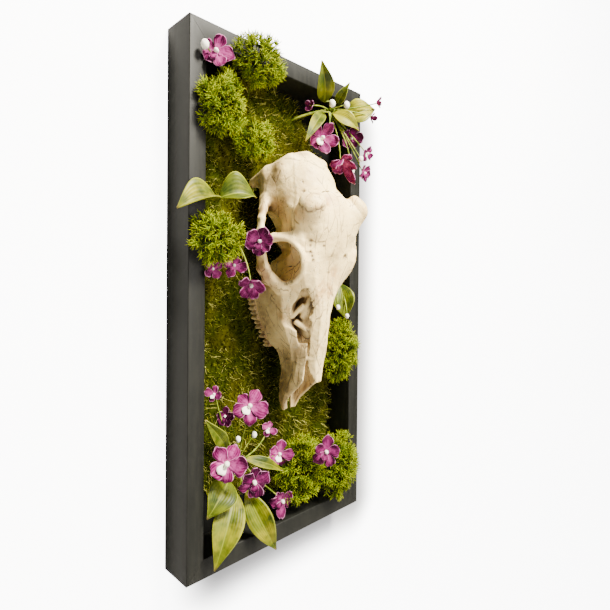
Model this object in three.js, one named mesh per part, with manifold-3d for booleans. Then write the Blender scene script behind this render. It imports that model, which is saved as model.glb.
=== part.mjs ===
// Deer skull, nose down, in a deep open frame with a moss panel, ferns, leaves and flowers.
// Millimetres. X runs right, Y into the wall, Z up. The origin is the middle of the back face.
import * as THREE from 'three';
import { mergeVertices } from 'three/addons/utils/BufferGeometryUtils.js';
import Module from 'manifold-3d';

const wasm = await Module();
wasm.setup();

// Driving dimensions of the frame
const FRAME_WIDTH = 239.5;
const FRAME_HEIGHT = 508;
const FRAME_DEPTH = 39.7;
const SIDE_RAIL = 17.5;
const END_RAIL = 18.5;
const BOARD = 3;
const MOSS_FACE = FRAME_DEPTH - 34; // how far the moss stands in front of the wall
const GAP = 0.3;

// Driving dimensions of the skull, in its own frame: u to the side, v out of its roof, w to the nose
const SKULL_CELL = 3;
const EDGE_MARGIN = 0.08; // share of a cell's edge that a surface point keeps from its ends
const SKULL_TRIANGLES = 2900;
const SKULL_LOW = [-66, -10, -6];
const SKULL_HIGH = [66, 122, 276];
const SKULL_AXES = [
  [0.99864, -0.01228, -0.0507],
  [0.01771, 0.99397, 0.10818],
  [0.04907, -0.10893, 0.99284],
];
const SKULL_CREST = [-0.99, 43.52 - FRAME_DEPTH, 146.84];

// Colours
const BONE = { color: 0xe9dcb8, roughness: 0.7, metalness: 0 };
const BLACK = { color: 0x2b2925, roughness: 0.5, metalness: 0 };
const MOSS = { color: 0x55552a, roughness: 1, metalness: 0 };
const FERN = { color: 0x8fa334, roughness: 0.9, metalness: 0 };
const LEAF = { color: 0xa3a832, roughness: 0.6, metalness: 0 };
const PETAL = { color: 0x9c4a86, roughness: 0.7, metalness: 0 };

const part = new THREE.Group();

// A closed mesh as a solid
function solidOf(geometry) {
  const bare = geometry.index ? geometry.clone() : geometry;
  bare.deleteAttribute('normal');
  bare.deleteAttribute('uv');
  const merged = mergeVertices(bare, 1e-4);
  return solidFrom(merged.attributes.position.array, merged.index.array);
}

function solidFrom(points, triangles) {
  const vertProperties = Float32Array.from(points);
  const triVerts = Uint32Array.from(triangles);
  return new wasm.Manifold(new wasm.Mesh({ numProp: 3, vertProperties, triVerts }));
}

function largest(solid) {
  const pieces = solid.decompose();
  pieces.sort((a, b) => b.volume() - a.volume());
  return pieces[0];
}

function together(solids) {
  return solids.reduce((sum, next) => sum.add(next));
}

function addNode(name, solid, finish) {
  const mesh = largest(solid).getMesh();
  const geometry = new THREE.BufferGeometry();
  geometry.setAttribute('position', new THREE.BufferAttribute(mesh.vertProperties, 3));
  geometry.setIndex(new THREE.BufferAttribute(mesh.triVerts, 1));
  geometry.computeVertexNormals();
  const node = new THREE.Mesh(geometry, new THREE.MeshStandardMaterial(finish));
  node.name = name;
  part.add(node);
}

// An outline in X and Z, given front to back as a depth range in Y
function slab(outline, front, back) {
  const shape = new THREE.Shape(outline.map(([x, z]) => new THREE.Vector2(x, z)));
  const geometry = new THREE.ExtrudeGeometry(shape, { depth: back - front, bevelEnabled: false });
  geometry.rotateX(Math.PI / 2);
  geometry.translate(0, back, 0);
  return solidOf(geometry);
}

function block(low, high) {
  const size = high.map((h, k) => h - low[k]);
  const geometry = new THREE.BoxGeometry(...size);
  geometry.translate(...low.map((l, k) => l + size[k] / 2));
  return solidOf(geometry);
}

const MOSS_TOP = MOSS_FACE + GAP;
const inFront = block([-300, -300, -400], [300, -MOSS_TOP, 400]);

// Frame: four mitred rails, the back board between them and the moss panel on the board
function makeFrame() {
  const x = FRAME_WIDTH / 2;
  const z = FRAME_HEIGHT / 2;
  const xi = x - SIDE_RAIL;
  const zi = z - END_RAIL;
  const m = GAP / 2;
  const side = [[-x, -z + m], [-xi, -zi + m], [-xi, zi - m], [-x, z - m]];
  const end = [[-x + m, z], [-xi + m, zi], [xi - m, zi], [x - m, z]];
  const flipX = (outline) => outline.map(([a, b]) => [-a, b]).reverse();
  const flipZ = (outline) => outline.map(([a, b]) => [a, -b]).reverse();
  addNode('frame_rail_left', slab(side, -FRAME_DEPTH, 0), BLACK);
  addNode('frame_rail_right', slab(flipX(side), -FRAME_DEPTH, 0), BLACK);
  addNode('frame_rail_top', slab(end, -FRAME_DEPTH, 0), BLACK);
  addNode('frame_rail_bottom', slab(flipZ(end), -FRAME_DEPTH, 0), BLACK);
  addNode('back_board', block([-xi + GAP, -BOARD, -zi + GAP], [xi - GAP, 0, zi - GAP]), BLACK);
  return { xi, zi };
}

function makeMoss({ xi, zi }) {
  const left = -xi + GAP;
  const right = xi - GAP;
  const outline = [
    [left, zi - 34], [left, -zi + 52], [left + 60, -zi + 26], [right, -zi + 12], [right, 20],
    [right - 6, 110], [right - 26, 168], [right - 44, 204], [right - 62, zi - GAP], [left + 40, zi - GAP],
  ];
  addNode('moss_panel', slab(outline, -MOSS_FACE, -BOARD - GAP), MOSS);
}

// Skull: roof line as w, height on the middle line, then shoulder (u, v) and edge (u, v)
const ROOF = [
  [60, 103, 20, 100, 33, 90],
  [85, 101, 24, 97, 37, 87],
  [100, 95, 26, 93, 38, 86],
  [117, 88.5, 28, 89, 41, 86],
  [131, 82.5, 22, 83.5, 33, 79],
  [143, 79, 16, 78.5, 25, 73],
  [155, 77, 11, 75.5, 18, 69.5],
  [168, 74.5, 7.5, 72.5, 13.5, 66.5],
  [182, 71.5, 6.5, 69, 12.5, 60],
  [200, 66.5, 6.5, 64, 12, 54.5],
  [220, 59.5, 6.5, 56.5, 11, 48.5],
  [238, 53.5, 3, 53, 5, 51],
];
// Snout below the roof: w, side (u, v), tooth bed (u, v), height of the palate
const SNOUT = [
  [80, 34, 62, 26, 30, 26],
  [100, 28, 60, 22, 30, 26],
  [118, 26, 60, 25, 20, 14],
  [128, 31, 60, 29, 12, 12],
  [136, 38, 55, 33.5, 5, 11],
  [146, 37, 50, 33.5, 3, 11],
  [158, 34.5, 46, 31.5, 3, 11],
  [170, 31, 42, 28, 3, 11],
  [180, 28, 40, 24, 3, 11],
  [192, 23, 38, 19.5, 4, 11],
  [202, 18.5, 35, 14.5, 8, 11],
  [214, 15.5, 32, 12, 9.5, 10],
];
// Toothless tip: w, rim (u, v), side (u, v), lower edge (u, v), height of the floor at the middle
const TIP = [
  [196, 12, 55, 17, 42, 13.5, 9, 9],
  [212, 12.3, 51.5, 15.3, 40, 11.5, 9.5, 8],
  [224, 13.2, 47, 15.5, 35, 10.8, 8.5, 6],
  [234, 14, 39, 15.5, 27, 11.5, 6, 5],
  [248, 13.5, 24.5, 15, 16, 12, 3, 4],
  [258, 11.8, 13, 13.2, 9, 11, 0.8, 2.4],
  [269, 8, 5.4, 9.2, 4, 8, 0.6, 1.2],
];

function rowAt(rows, w) {
  let i = 0;
  while (i < rows.length - 2 && w > rows[i + 1][0]) i += 1;
  const a = rows[i];
  const b = rows[i + 1];
  const t = Math.min(1, Math.max(0, (w - a[0]) / (b[0] - a[0])));
  return a.map((value, k) => value + (b[k] - value) * t);
}

const faceSections = SNOUT.map(([w, su, sv, au, av, palate]) => {
  const [, top, u1, v1, u2, v2] = rowAt(ROOF, w);
  return [w, [[0, top], [u1, v1], [u2, v2], [su, sv], [au, av], [au - 8, palate + 2], [0, palate]]];
});

const nasalSections = ROOF.filter(([w]) => w >= 143).map(([w, top, u1, v1, u2, v2]) => {
  const thick = 4.4;
  return [w, [[0, top], [u1, v1], [u2, v2], [u2 - 3.4, v2 + 1], [u1 - 2, v1 - 4], [0, top - thick]]];
});

const tipSections = TIP.map(([w, ru, rv, su, sv, lu, lv, floor]) => {
  const slit = w < 230 ? 0 : 2.6;
  const wall = 3;
  const inner = Math.max(lu - wall, slit + 2);
  return [w, [[ru, rv], [su, sv], [lu, lv], [slit, floor], [slit, floor + wall], [inner, lv + wall],
    [su - wall, sv - 1], [ru - 2, rv - wall]]];
});

// Ordered list of forms: add or cut, blend, kind, sizes
const SKULL_FORMS = [
  ['add', 0, 'ball', [0, 54, 44], [36, 39, 42]],
  ['add', 10, 'ball', [0, 66, 84], [37, 36, 40]],
  ['add', 8, 'ball', [0, 86, 70], [30, 20, 26]],
  ['add', 6, 'loft', faceSections],
  ['cut', 6, 'ball', [46, 52, 82], [16, 34, 28]],
  // pedicles where the antlers were shed
  ['add', 8, 'cone', [24, 86, 82], [31, 95, 72], 17, 12.5],
  ['add', 8, 'cone', [22, 88, 74], [32, 100, 66], 15.5, 10.5],
  ['add', 3, 'disc', [33.8, 101.7, 63.8], [0.6, 0.61, -0.51], 12.2, 5.2],
  // nuchal crest, back plate and the processes below it
  ['add', 4, 'cone', [0, 56, 28], [20, 55, 28], 17, 16],
  ['add', 8, 'cone', [0, 69, 7], [23, 67.5, 13], 4, 3.5],
  ['add', 8, 'cone', [23, 67.5, 13], [29, 62, 21], 3.5, 4],
  ['add', 6, 'cone', [26, 62, 16], [30, 44, 20], 4, 5],
  ['add', 6, 'ball', [0, 42, 22], [31, 26, 13]],
  ['add', 4, 'ball', [10, 26, 12], [7, 9, 8]],
  ['add', 4, 'cone', [31, 42, 22], [34, 22, 26], 7, 4.5],
  ['add', 3, 'cone', [26, 28, 26], [26, 9, 24], 6, 3],
  ['add', 4, 'ball', [16, 24, 36], [9, 9, 15]],
  ['add', 4, 'cone', [0, 26, 14], [0, 29, 84], 10, 9],
  ['add', 8, 'ball', [28, 42, 42], [12, 13, 24]],
  // eye socket and its rim
  ['cut', 2, 'ball', [47, 64, 113.5], [24, 21.5, 21.5]],
  ['cut', 4, 'ball', [46, 50, 100], [20, 22, 20]],
  ['cut', 3, 'ball', [30, 38, 99], [21, 20, 12]],
  ['cut', 3, 'ball', [35, 33, 75], [14, 20, 15]],
  ['add', 3, 'ring', [45.5, 64.5, 114], [0.92, 0.33, 0.34], 22.6, 2.3],
  ['add', 4, 'cone', [38, 84, 93], [50, 62, 91], 5, 4],
  ['add', 3, 'cone', [50, 62, 91], [55, 47, 94], 4, 4],
  // cheek arch
  ['add', 4, 'bar', [38, 41, 48], [45, 45, 60], [6.5, 4], [5, 3]],
  ['add', 3, 'bar', [45, 45, 60], [51, 48, 70], [5, 3], [4, 2.6]],
  ['add', 3, 'bar', [51, 48, 70], [54, 48.5, 82], [4, 2.6], [3.8, 2.4]],
  ['add', 3, 'bar', [54, 48.5, 82], [55, 46.5, 94], [3.8, 2.4], [5.4, 2.6]],
  ['add', 3, 'bar', [55, 46.5, 94], [52.5, 45, 118], [5.4, 2.6], [7.4, 3]],
  ['add', 4, 'bar', [52.5, 45, 118], [46.5, 46, 129], [7.4, 3], [8.4, 3.6]],
  ['add', 4, 'bar', [46.5, 46, 129], [38, 50, 139], [8.4, 3.6], [8, 5]],
  // nose hollow and the opening in front of the socket
  ['cut', 1.5, 'ball', [0, 50, 172], [20, 18, 44]],
  ['cut', 1.5, 'cone', [24, 70, 145], [20, 61, 160], 4.2, 9],
  ['cut', 1.5, 'cone', [21, 59, 162], [22, 52, 176], 9.5, 7.5],
  ['cut', 1.5, 'cone', [22, 50, 172], [31, 44, 174], 6.5, 5],
  ['add', 3, 'ball', [8, 52, 166], [7, 15, 27]],
  ['add', 2, 'ball', [15, 58, 159], [6, 6.5, 8]],
  ['add', 2, 'ball', [17, 49, 169], [6, 6, 7.5]],
  ['add', 2, 'ball', [14, 54, 178], [4.5, 5, 6]],
  ['cut', 1.5, 'cone', [0, 40, 200], [0, 32, 275], 11, 11],
  ['add', 1.5, 'loft', tipSections],
  ['add', 1, 'loft', nasalSections],
];

const minus = (a, b) => [a[0] - b[0], a[1] - b[1], a[2] - b[2]];
const dot = (a, b) => a[0] * b[0] + a[1] * b[1] + a[2] * b[2];
const along = (q, e) => Math.min(1, Math.max(0, dot(q, e) / dot(e, e)));
const mix = (a, b, t) => a + (b - a) * t;

function toPolygon(points, x, y) {
  let best = Infinity;
  let inside = false;
  points.forEach(([bx, by], i) => {
    const [ax, ay] = points[(i + points.length - 1) % points.length];
    const e = [bx - ax, by - ay];
    const q = [x - ax, y - ay];
    const onMiddle = ax === 0 && bx === 0;
    const t = Math.min(1, Math.max(0, (q[0] * e[0] + q[1] * e[1]) / (e[0] * e[0] + e[1] * e[1] || 1)));
    if (!onMiddle) best = Math.min(best, Math.hypot(q[0] - e[0] * t, q[1] - e[1] * t));
    if ((ay > y) !== (by > y) && x < (e[0] * (y - ay)) / e[1] + ax) inside = !inside;
  });
  return inside ? -best : best;
}

const FORMS = {
  ball(p, centre, radii) {
    const q = minus(p, centre).map((value, k) => value / radii[k]);
    const k0 = Math.hypot(...q);
    const k1 = Math.hypot(...q.map((value, k) => value / radii[k]));
    return k1 === 0 ? -Math.min(...radii) : (k0 * (k0 - 1)) / k1;
  },
  cone(p, a, b, ra, rb) {
    const e = minus(b, a);
    const q = minus(p, a);
    const t = along(q, e);
    return Math.hypot(q[0] - e[0] * t, q[1] - e[1] * t, q[2] - e[2] * t) - mix(ra, rb, t);
  },
  bar(p, a, b, [ha, ta], [hb, tb]) {
    const e = minus(b, a);
    const q = minus(p, a);
    const t = along(q, e);
    const half = mix(ta, tb, t);
    const tall = Math.max(0, Math.abs(q[1] - e[1] * t) - mix(ha, hb, t) + half);
    return Math.hypot(q[0] - e[0] * t, tall, q[2] - e[2] * t) - half;
  },
  disc(p, centre, axis, radius, half) {
    const round = 4.5;
    const q = minus(p, centre);
    const z = dot(q, axis) / Math.hypot(...axis);
    const x = Math.sqrt(Math.max(0, dot(q, q) - z * z)) - radius + round;
    const y = Math.abs(z) - half + round;
    return Math.hypot(Math.max(x, 0), Math.max(y, 0)) + Math.min(Math.max(x, y), 0) - round;
  },
  ring(p, centre, axis, radius, thick) {
    const q = minus(p, centre);
    const z = dot(q, axis) / Math.hypot(...axis);
    return Math.hypot(Math.sqrt(Math.max(0, dot(q, q) - z * z)) - radius, z) - thick;
  },
  loft([u, v, w], sections) {
    const last = sections.length - 1;
    let i = 0;
    while (i < last - 1 && w > sections[i + 1][0]) i += 1;
    const [wa, a] = sections[i];
    const [wb, b] = sections[i + 1];
    const t = Math.min(1, Math.max(0, (w - wa) / (wb - wa)));
    const d = toPolygon(a.map(([x, y], k) => [mix(x, b[k][0], t), mix(y, b[k][1], t)]), u, v);
    const e = Math.max(sections[0][0] - w, w - sections[last][0]);
    return d > 0 && e > 0 ? Math.hypot(d, e) : Math.max(d, e);
  },
};

function skullField(u, v, w) {
  const p = [Math.abs(u), v, w];
  let d = Infinity;
  for (const [verb, blend, kind, ...sizes] of SKULL_FORMS) {
    const s = FORMS[kind](p, ...sizes);
    const signed = verb === 'add' ? s : -s;
    const h = blend ? Math.max(blend - Math.abs(d - signed), 0) / blend : 0;
    const round = (h * h * blend) / 4;
    d = verb === 'add' ? Math.min(d, s) - round : Math.max(d, -s) + round;
  }
  return d;
}

// Closed surface of a field: each cell is split into six tetrahedra about one diagonal
const CORNERS = [[0, 0, 0], [1, 0, 0], [1, 1, 0], [0, 1, 0], [0, 0, 1], [1, 0, 1], [1, 1, 1], [0, 1, 1]];
const TETRAHEDRA = [[0, 5, 1, 6], [0, 1, 2, 6], [0, 2, 3, 6], [0, 3, 7, 6], [0, 7, 4, 6], [0, 4, 5, 6]];

function surfaceOf(field, low, high, cell) {
  const n = low.map((l, k) => Math.ceil((high[k] - l) / cell) + 1);
  const index = (i, j, k) => i + n[0] * (j + n[1] * k);
  const place = (id) => {
    const i = id % n[0];
    const j = Math.floor(id / n[0]) % n[1];
    const k = Math.floor(id / (n[0] * n[1]));
    return [low[0] + i * cell, low[1] + j * cell, low[2] + k * cell];
  };
  const values = new Float32Array(n[0] * n[1] * n[2]);
  for (let id = 0; id < values.length; id += 1) {
    const d = field(...place(id));
    values[id] = Math.abs(d) < 0.02 ? 0.02 : d;
  }
  const points = [];
  const triangles = [];
  const onEdge = new Map();
  const crossing = (a, b) => {
    const key = a < b ? a * values.length + b : b * values.length + a;
    if (!onEdge.has(key)) {
      const [lo, hi] = a < b ? [a, b] : [b, a];
      const exact = values[lo] / (values[lo] - values[hi]);
      const t = Math.min(1 - EDGE_MARGIN, Math.max(EDGE_MARGIN, exact));
      const p = place(lo);
      const q = place(hi);
      onEdge.set(key, points.length);
      points.push(p.map((value, k) => mix(value, q[k], t)));
    }
    return onEdge.get(key);
  };
  const emit = (a, b, c, insideId) => {
    const [pa, pb, pc] = [points[a], points[b], points[c]];
    const [x, y] = [minus(pb, pa), minus(pc, pa)];
    const normal = [x[1] * y[2] - x[2] * y[1], x[2] * y[0] - x[0] * y[2], x[0] * y[1] - x[1] * y[0]];
    const inwards = dot(normal, minus(place(insideId), pa)) > 0;
    triangles.push(inwards ? [a, c, b] : [a, b, c]);
  };
  for (let k = 0; k < n[2] - 1; k += 1) {
    for (let j = 0; j < n[1] - 1; j += 1) {
      for (let i = 0; i < n[0] - 1; i += 1) {
        const ids = CORNERS.map(([a, b, c]) => index(i + a, j + b, k + c));
        const some = ids.some((id) => values[id] < 0) && ids.some((id) => values[id] > 0);
        if (!some) continue;
        for (const tetrahedron of TETRAHEDRA) {
          const inner = tetrahedron.map((c) => ids[c]).filter((id) => values[id] < 0);
          const outer = tetrahedron.map((c) => ids[c]).filter((id) => values[id] > 0);
          if (inner.length === 1) emit(...outer.map((o) => crossing(inner[0], o)), inner[0]);
          if (inner.length === 3) emit(...inner.map((o) => crossing(o, outer[0])), inner[0]);
          if (inner.length === 2) {
            const [a, b] = inner;
            const [c, d] = outer;
            const quad = [crossing(a, c), crossing(a, d), crossing(b, d), crossing(b, c)];
            emit(quad[0], quad[1], quad[2], a);
            emit(quad[0], quad[2], quad[3], b);
          }
        }
      }
    }
  }
  return { points, triangles };
}

// Fewer triangles: collapse the edge that moves the surface least, until the count is reached
function coarser({ points, triangles }, count) {
  const faces = triangles.map((t) => [...t]);
  const alive = faces.map(() => true);
  const around = points.map(() => new Set());
  faces.forEach((t, f) => t.forEach((v) => around[v].add(f)));
  const plane = (t) => {
    const [a, b, c] = t.map((v) => points[v]);
    const [x, y] = [minus(b, a), minus(c, a)];
    const n = [x[1] * y[2] - x[2] * y[1], x[2] * y[0] - x[0] * y[2], x[0] * y[1] - x[1] * y[0]];
    const size = Math.hypot(...n);
    const unit = size > 1e-9 ? n.map((value) => value / size) : [0, 0, 0];
    return [...unit, -dot(unit, a), size / 2];
  };
  const quadrics = points.map(() => new Float64Array(10));
  faces.forEach((t) => {
    const [a, b, c, d, area] = plane(t);
    const q = [a * a, a * b, a * c, a * d, b * b, b * c, b * d, c * c, c * d, d * d];
    t.forEach((v) => q.forEach((value, k) => { quadrics[v][k] += value * area; }));
  });
  const error = (q, [x, y, z]) => q[0] * x * x + 2 * q[1] * x * y + 2 * q[2] * x * z + 2 * q[3] * x
    + q[4] * y * y + 2 * q[5] * y * z + 2 * q[6] * y + q[7] * z * z + 2 * q[8] * z + q[9];
  const best = (a, b) => {
    const q = quadrics[a].map((value, k) => value + quadrics[b][k]);
    const middle = points[a].map((value, k) => (value + points[b][k]) / 2);
    const choices = [points[a], points[b], middle];
    const c0 = q[4] * q[7] - q[5] * q[5];
    const c1 = q[2] * q[5] - q[1] * q[7];
    const c2 = q[1] * q[5] - q[2] * q[4];
    const det = q[0] * c0 + q[1] * c1 + q[2] * c2;
    const scale = (q[0] + q[4] + q[7]) ** 3;
    if (Math.abs(det) > 1e-4 * scale) {
      const c4 = q[0] * q[7] - q[2] * q[2];
      const c5 = q[1] * q[2] - q[0] * q[5];
      const c7 = q[0] * q[4] - q[1] * q[1];
      const r = [-q[3], -q[6], -q[8]];
      choices.push([
        (c0 * r[0] + c1 * r[1] + c2 * r[2]) / det,
        (c1 * r[0] + c4 * r[1] + c5 * r[2]) / det,
        (c2 * r[0] + c5 * r[1] + c7 * r[2]) / det,
      ]);
    }
    const costs = choices.map((p) => error(q, p) + 1e-3 * Math.hypot(...minus(points[a], points[b])));
    const pick = costs.indexOf(Math.min(...costs));
    return { place: choices[pick], cost: costs[pick], q };
  };
  const heap = [];
  const stamp = points.map(() => 0);
  const push = (item) => {
    let i = heap.push(item) - 1;
    while (i > 0) {
      const up = (i - 1) >> 1;
      if (heap[up].cost <= heap[i].cost) break;
      [heap[up], heap[i]] = [heap[i], heap[up]];
      i = up;
    }
  };
  const pop = () => {
    const top = heap[0];
    const last = heap.pop();
    if (heap.length) {
      heap[0] = last;
      let i = 0;
      for (;;) {
        let low = i;
        for (const child of [2 * i + 1, 2 * i + 2]) {
          if (child < heap.length && heap[child].cost < heap[low].cost) low = child;
        }
        if (low === i) break;
        [heap[low], heap[i]] = [heap[i], heap[low]];
        i = low;
      }
    }
    return top;
  };
  const consider = (a, b) => push({ ...best(a, b), a, b, sa: stamp[a], sb: stamp[b] });
  const neighbours = (v) => {
    const found = new Set();
    around[v].forEach((f) => faces[f].forEach((o) => found.add(o)));
    found.delete(v);
    return found;
  };
  const turns = (v, other, place) => [...around[v]].some((f) => {
    if (faces[f].includes(other)) return false;
    const before = plane(faces[f]);
    const kept = points[v];
    points[v] = place;
    const after = plane(faces[f]);
    points[v] = kept;
    const sides = faces[f].map((p, k) => {
      const [c, d] = [p, faces[f][(k + 1) % 3]].map((m) => (m === v ? place : points[m]));
      return Math.hypot(...minus(c, d));
    });
    return dot(before, after) < limits.turn || after[4] < limits.thin * Math.max(...sides) ** 2;
  });
  const refill = () => {
    heap.length = 0;
    points.forEach((_, a) => neighbours(a).forEach((b) => a < b && consider(a, b)));
  };
  const limits = { turn: 0.5, thin: 0.08 };
  let left = faces.length;
  let passes = 0;
  refill();
  while (left > count && passes < 8) {
    if (heap.length === 0) {
      limits.turn *= 0.8;
      limits.thin *= 0.7;
      passes += 1;
      refill();
    }
    const { a, b, sa, sb, place, q } = pop();
    if (sa !== stamp[a] || sb !== stamp[b]) continue;
    const near = neighbours(b);
    const shared = [...neighbours(a)].filter((v) => near.has(v));
    if (shared.length !== 2 || turns(a, b, place) || turns(b, a, place)) continue;
    [...around[b]].forEach((f) => {
      if (faces[f].includes(a)) {
        alive[f] = false;
        left -= 1;
        faces[f].forEach((v) => around[v].delete(f));
      } else {
        faces[f] = faces[f].map((v) => (v === b ? a : v));
        around[a].add(f);
      }
    });
    around[b].clear();
    points[a] = place;
    quadrics[a] = q;
    stamp[a] += 1;
    stamp[b] = -1;
    neighbours(a).forEach((v) => consider(a, v));
  }
  return { points, triangles: faces.filter((_, f) => alive[f]) };
}

function toWorld([u, v, w]) {
  const q = [u, -v, -w];
  return SKULL_AXES.map((row, k) => dot(row, q) + SKULL_CREST[k]);
}

function toSkullPlace(geometry) {
  const position = geometry.attributes.position;
  for (let i = 0; i < position.count; i += 1) {
    position.setXYZ(i, ...toWorld([position.getX(i), position.getY(i), position.getZ(i)]));
  }
  return solidOf(geometry);
}

// Cheek teeth: six crowns a side, each with two points, in a curve from front to back
const TOOTH_COUNT = 6;
function makeTeeth(side) {
  const teeth = [];
  for (let i = 0; i < TOOTH_COUNT; i += 1) {
    const t = i / (TOOTH_COUNT - 1);
    const w = mix(194, 142, t);
    const u = mix(18.5, 33, Math.sin((t * Math.PI) / 2));
    const long = mix(8.6, 11.6, t);
    const wide = mix(6, 9, t);
    const crown = 9;
    const profile = [
      [-long / 2 + 0.4, 10], [-long / 2, 0], [-long / 2 + 0.4, -crown + 1.8], [-long / 4, -crown + 0.2],
      [0, -crown + 2.2], [long / 4, -crown], [long / 2 - 0.4, -crown + 2], [long / 2, 0], [long / 2 - 0.4, 10],
    ];
    const shape = new THREE.Shape(profile.map(([x, y]) => new THREE.Vector2(x, y)));
    const geometry = new THREE.ExtrudeGeometry(shape, { depth: wide, bevelEnabled: false });
    geometry.rotateY(-Math.PI / 2);
    geometry.translate(side * u + wide / 2, 3, w);
    teeth.push(toSkullPlace(geometry));
  }
  return teeth;
}

// Parting cuts between the bones, as lines in the side view (w, v)
const SUTURES = [
  [[50, 130], [52, 96], [74, 61], [141, 61]],
  [[118, 61], [118, -20]],
  [[141, 61], [150, 68], [160, 67.5]],
  [[146, 100], [146, 78], [160, 67.5], [168, 66], [182, 59.5], [200, 54], [220, 47.6], [245, 44]],
  [[219, 48], [211, 24], [224, -10]],
];
function wall(line, from, to) {
  const pieces = [];
  for (let i = 0; i < line.length - 1; i += 1) {
    const [[wa, va], [wb, vb]] = [line[i], line[i + 1]];
    const long = Math.hypot(wb - wa, vb - va);
    const geometry = new THREE.BoxGeometry(to - from, GAP, long + GAP);
    geometry.rotateX(-Math.atan2(vb - va, wb - wa));
    geometry.translate((from + to) / 2, (va + vb) / 2, (wa + wb) / 2);
    pieces.push(toSkullPlace(geometry));
  }
  return pieces;
}
function panel(low, high) {
  const size = high.map((h, k) => h - low[k]);
  const geometry = new THREE.BoxGeometry(...size);
  geometry.translate(...low.map((l, k) => l + size[k] / 2));
  return toSkullPlace(geometry);
}

const BONES = [ // name and a place inside the bone
  ['skull_braincase', [0, 54, 36]],
  ['skull_frontal', [0, 84, 84]],
  ['skull_zygomatic_left', [-52, 45, 116]],
  ['skull_zygomatic_right', [52, 45, 116]],
  ['skull_maxilla_left', [-30, 24, 160]],
  ['skull_maxilla_right', [30, 24, 160]],
  ['skull_nasal_left', [-5, 68, 182]],
  ['skull_nasal_right', [5, 68, 182]],
  ['skull_premaxilla_left', [-11, 8, 238]],
  ['skull_premaxilla_right', [11, 8, 238]],
];

function makeSkull() {
  const fine = surfaceOf(skullField, SKULL_LOW, SKULL_HIGH, SKULL_CELL);
  const mesh = coarser(fine, SKULL_TRIANGLES);
  const bone = largest(solidFrom(mesh.points.flatMap(toWorld), mesh.triangles.flat()));
  const whole = together([bone, ...makeTeeth(-1), ...makeTeeth(1)]);
  const cuts = SUTURES.flatMap((line) => wall(line, -70, 70));
  const m = GAP / 2;
  cuts.push(panel([-m, -20, 118], [m, 61, 290]));
  cuts.push(panel([-m, 60, 141], [m, 67, 150]));
  cuts.push(panel([-m, 44, 146], [m, 100, 290]));
  for (const side of [-1, 1]) {
    const at = side * 34;
    cuts.push(panel([at - m, -20, 93], [at + m, 61, 141]));
    const [near, far] = side < 0 ? [-70, at] : [at, 70];
    cuts.push(panel([near, -20, 93 - m], [far, 61, 93 + m]));
    cuts.push(panel([near, -20, 141 - m], [far, 61, 141 + m]));
  }
  const pieces = whole.subtract(together(cuts)).intersect(inFront).decompose();
  const taken = new Set();
  for (const [name, inside] of BONES) {
    const [x, y, z] = toWorld(inside);
    const probe = block([x - 2, y - 2, z - 2], [x + 2, y + 2, z + 2]);
    const shares = pieces.map((piece) => (taken.has(piece) ? 0 : piece.intersect(probe).volume()));
    const found = pieces[shares.indexOf(Math.max(...shares))];
    if (!found || Math.max(...shares) === 0) throw new Error(`no bone at ${name}`);
    taken.add(found);
    addNode(name, found, BONE);
  }
}

// Plants. A place is [x, out, z], where out is the distance in front of the wall
const SIDES = 3;
const PETAL_SAMPLES = 10;
const PETAL_THICK = 1.2;
const LEAF_THICK = 1.1;
const HUB = 4.5;

const at = ([x, out, z]) => new THREE.Vector3(x, -out, z);

// Straight tapered rod between two places
function rod(from, to, thickFrom, thickTo) {
  const a = at(from);
  const b = at(to);
  const geometry = new THREE.CylinderGeometry(thickTo, thickFrom, a.distanceTo(b), SIDES);
  const turn = new THREE.Quaternion().setFromUnitVectors(new THREE.Vector3(0, 1, 0), b.clone().sub(a).normalize());
  geometry.applyQuaternion(turn);
  const middle = a.clone().add(b).multiplyScalar(0.5);
  geometry.translate(middle.x, middle.y, middle.z);
  return solidOf(geometry);
}

// Rod that starts a little way out from the middle of its hub
function spoke(hub, to, skip, thickFrom, thickTo) {
  const run = minus(to, hub);
  const t = skip / Math.hypot(...run);
  return rod(hub.map((value, k) => value + run[k] * t), to, thickFrom, thickTo);
}

function bead(place, radius) {
  const geometry = new THREE.IcosahedronGeometry(radius, 0);
  const p = at(place);
  geometry.translate(p.x, p.y, p.z);
  return solidOf(geometry);
}

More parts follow.
